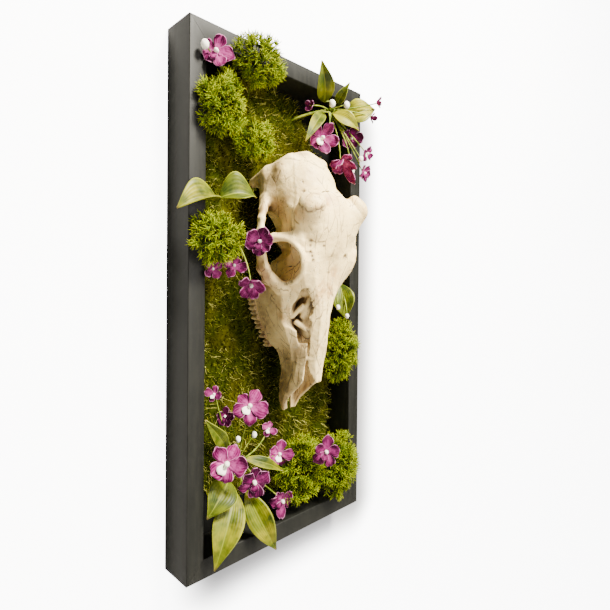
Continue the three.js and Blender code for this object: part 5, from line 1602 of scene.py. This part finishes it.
def make_moss_mat(material, step=2.0):
    xs = np.arange(-INNER_X + 0.5, INNER_X - 0.4, step)
    zs = np.arange(-INNER_Z + 1, INNER_Z - 0.4, step)
    x, z = (a.ravel() for a in np.meshgrid(xs, zs, indexing="ij"))
    inside, height = moss_height(x, z)
    top = np.stack([x, -height, z], 1)
    low = np.stack([x, np.full(len(x), -BOARD - 0.05), z], 1)
    ids = np.arange(len(x)).reshape(len(xs), len(zs))
    quads = grid_quads(ids)
    quads = quads[(inside[quads] > 0.5).all(1)]
    sides = np.concatenate([quads[:, [k, (k + 1) % 4]] for k in range(4)])
    known = set(map(tuple, sides))
    rim = np.array([(a, b) for a, b in sides if (b, a) not in known])
    walls = np.stack([rim[:, 1], rim[:, 0], rim[:, 0] + len(x), rim[:, 1] + len(x)], 1)
    faces = np.concatenate([quads, quads[:, ::-1] + len(x), walls])
    used, faces = np.unique(faces, return_inverse=True)
    mat = make_object("moss_mat", np.concatenate([top, low])[used], faces.reshape(-1, 4))
    dress(mat, material, "moss", "moss_panel")
    used, quads = np.unique(quads, return_inverse=True)
    return top[used], quads.reshape(-1, 4)


# %% Tree and shapes for moss strands
moss_growth = Growth("moss", Strand="Object", Material="Material", Density="Float", Seed="Int", Lean="Float")
g = moss_growth
spots = g.node("GeometryNodeDistributePointsOnFaces", Mesh=g.source, Density=g.given["Density"],
               Seed=g.given["Seed"])
tilt = g.math("MULTIPLY", g.random(0.15, 1.0, 11), g.given["Lean"])
spin = g.random(0.0, 2 * math.pi, 12)
own = g.node("FunctionNodeEulerToRotation", _0=g.node("ShaderNodeCombineXYZ", X=tilt, Z=spin)[0])[0]
both = g.node("FunctionNodeRotateRotation", {"rotation_space": "LOCAL"}, _0=spots["Rotation"], _1=own)[0]
place = g.node("GeometryNodeInputPosition")[0]
rooted = g.node("GeometryNodeStoreNamedAttribute", {"data_type": "FLOAT_VECTOR", "domain": "POINT"},
                Geometry=spots["Points"], Name="root", Value=place)[0]
tinted = g.node("GeometryNodeStoreNamedAttribute", {"data_type": "FLOAT", "domain": "POINT"},
                Geometry=rooted, Name="tint", Value=g.random(0.0, 1.0, 13))[0]
shape = g.node("GeometryNodeObjectInfo", Object=g.given["Strand"])["Geometry"]
copies = g.node("GeometryNodeInstanceOnPoints", Points=tinted, Instance=shape, Rotation=both,
                Scale=g.random(0.6, 1.25, 14))[0]
g.end(copies, g.given["Material"])


def strand_shape(long, thick, curl, rings=5, sides=3):
    """A curled thread: it rises, bends over and winds a little."""
    points, tips = [], []
    for i in range(rings):
        s = i / (rings - 1)
        bend = curl * s
        middle = np.array([long * 0.22 * math.sin(bend * 1.7), long * (1 - math.cos(bend)) / max(curl, 0.1),
                           long * math.sin(bend) / max(curl, 0.1)])
        for k in range(sides):
            angle = 2 * math.pi * k / sides
            r = thick * (1 - 0.75 * s)
            points.append(middle + r * np.array([math.cos(angle), math.sin(angle), 0]))
            tips.append(s)
    last = (rings - 1) * sides
    caps = [(2, 1, 0), (last, last + 1, last + 2)]
    return hidden_object(points, [tube_faces(rings, sides), np.array(caps)], tip=tips)


def moss_material():
    shade = Shade("dried_moss", roughness=1.0, Specular_IOR_Level=0.03)
    tip, tint = shade.value("tip"), shade.value("tint")
    patch = shade.mask(shade.noise(30, detail=3), 0.4, 0.65)
    colour = shade.mix((0.020, 0.026, 0.001), (0.045, 0.042, 0.002), patch)
    colour = shade.mix(colour, (0.13, 0.145, 0.004), shade.math("MULTIPLY", tip, shade.mask(tint, 0.1, 0.9)))
    colour = shade.mix(colour, (0.30, 0.27, 0.03), shade.math("MULTIPLY", tip, shade.mask(tint, 0.85, 1.0)))
    shade.bump(shade.noise(1.2, detail=4), 0.5, 0.8)
    return shade.finish(colour)


def straw_material():
    shade = Shade("moss_straw", roughness=0.8, Specular_IOR_Level=0.08)
    tint = shade.value("tint")
    colour = shade.mix((0.12, 0.13, 0.006), (0.46, 0.42, 0.10), shade.mask(tint, 0.2, 1.0))
    shade.bump(shade.noise(1.0), 0.1, 0.5)
    return shade.finish(colour)


def make_moss_coat(face, name, material, shape, per_cm2, seed, lean):
    source = make_object("moss_source", *face)
    piece = moss_growth.grow(source, name, Strand=shape, Material=material, Density=per_cm2 * 1e4, Seed=seed,
                             Lean=lean)
    bpy.data.objects.remove(shape)
    points = read_points(piece.data)
    points[:, 1] = np.minimum(points[:, 1], -BOARD - 0.1)
    piece.data.vertices.foreach_set("co", (points * MM).ravel())
    root = np.zeros(len(piece.data.vertices) * 3)
    piece.data.attributes["root"].data.foreach_get("vector", root)
    root = root.reshape(-1, 3) / MM
    tip = read_values(piece.data, "tip")
    atlas = np.stack([(root[:, 0] + INNER_X) / (4 * INNER_X) + 0.02,
                      (root[:, 2] + INNER_Z) / (2.1 * INNER_Z) + 0.01], 1)
    patch_map(piece.data, atlas, np.stack([tip, tip], 1))
    dress(piece, material, "moss", "moss_panel")


moss_finish, straw_finish = moss_material(), straw_material()
moss_face = make_moss_mat(moss_finish)
make_moss_coat(moss_face, "moss_threads", moss_finish, strand_shape(7.0, 0.42, 1.5, rings=4), 13, 31, 1.2)
make_moss_coat(moss_face, "moss_straws", straw_finish, strand_shape(9.5, 0.4, 0.8), 3.4, 32, 1.45)


# %% [markdown]
# ## The frame
# Four mitred rails of painted wood. Real edges are never sharp: each rail is a rectangle with its
# edges rounded by about a millimetre, drawn along its length and cut on the slant at both ends.

# %% Rails
def rail_section(wide, edge=0.9, steps=4):
    """Rounded rectangle: inward from the outer side, and Y from the wall."""
    low, high = -FRAME_DEPTH + edge, -edge
    corners = [(wide - edge, high), (edge, high), (edge, low), (wide - edge, low)]
    points = []
    for k, (p, y) in enumerate(corners):
        for s in np.linspace(0, math.pi / 2, steps):
            angle = math.pi / 2 * k + s
            points.append((p + edge * math.cos(angle), y + edge * math.sin(angle)))
    return np.array(points)


def make_rail(material, name, wide, other, half_long, half_across, along_z, sign):
    section = rail_section(wide)
    stops = np.linspace(-1, 1, 41)
    rings = []
    for stop in stops:
        end = half_long - 0.15 - section[:, 0] * other / wide
        length = stop * end
        across = sign * (half_across - section[:, 0])
        ring = [across, section[:, 1], length]
        rings.append(np.stack(ring if along_z else ring[::-1], 1))
    points = np.concatenate(rings)
    n, m = len(stops), len(section)
    ids = np.arange(n * m).reshape(n, m)
    nxt = np.roll(ids, -1, axis=1)
    quads = np.stack([ids[:-1], nxt[:-1], nxt[1:], ids[1:]], -1).reshape(-1, 4)
    caps = np.stack([ids[0, ::-1], ids[-1]])
    if (sign > 0) == along_z:
        quads, caps = quads[:, ::-1], caps[:, ::-1]
    rail = make_object(name, points, [quads, caps], smooth=True)
    rail.data.set_sharp_from_angle(angle=math.radians(40))
    dress(rail, material, "frame", name.replace("painted", "frame"))


def paint_material():
    shade = Shade("black_paint", roughness=0.5, Specular_IOR_Level=0.22)
    grain = shade.noise(3.5, detail=4, stretch=(1, 1, 0.12))
    colour = shade.mix((0.0048, 0.0050, 0.0038), (0.0085, 0.0087, 0.0066), shade.mask(grain, 0.35, 0.7))
    dust = shade.mask(shade.noise(22, detail=5), 0.56, 0.8)
    colour = shade.cover(colour, (0.02, 0.02, 0.017), dust, 0.3)
    shade.bump(grain, 0.06, 0.5)
    shade.bump(shade.noise(0.8, detail=2), 0.03, 0.4)
    gloss = shade.node("ShaderNodeMapRange", Value=grain, To_Min=0.42, To_Max=0.6).outputs[0]
    return shade.finish(colour, gloss)


def board_material():
    shade = Shade("black_board", roughness=0.9, Specular_IOR_Level=0.1)
    fibre = shade.noise(1.3, detail=4)
    colour = shade.mix((0.001, 0.001, 0.001), (0.004, 0.004, 0.003), fibre)
    shade.bump(fibre, 0.05, 0.5)
    return shade.finish(colour)


paint = paint_material()
half_x, half_z = FRAME_WIDTH / 2, FRAME_HEIGHT / 2
make_rail(paint, "painted_rail_left", SIDE_RAIL, END_RAIL, half_z, half_x, True, -1)
make_rail(paint, "painted_rail_right", SIDE_RAIL, END_RAIL, half_z, half_x, True, 1)
make_rail(paint, "painted_rail_top", END_RAIL, SIDE_RAIL, half_x, half_z, False, 1)
make_rail(paint, "painted_rail_bottom", END_RAIL, SIDE_RAIL, half_x, half_z, False, -1)
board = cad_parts["back_board"]
board.data.materials.clear()
board.data.materials.append(board_material())
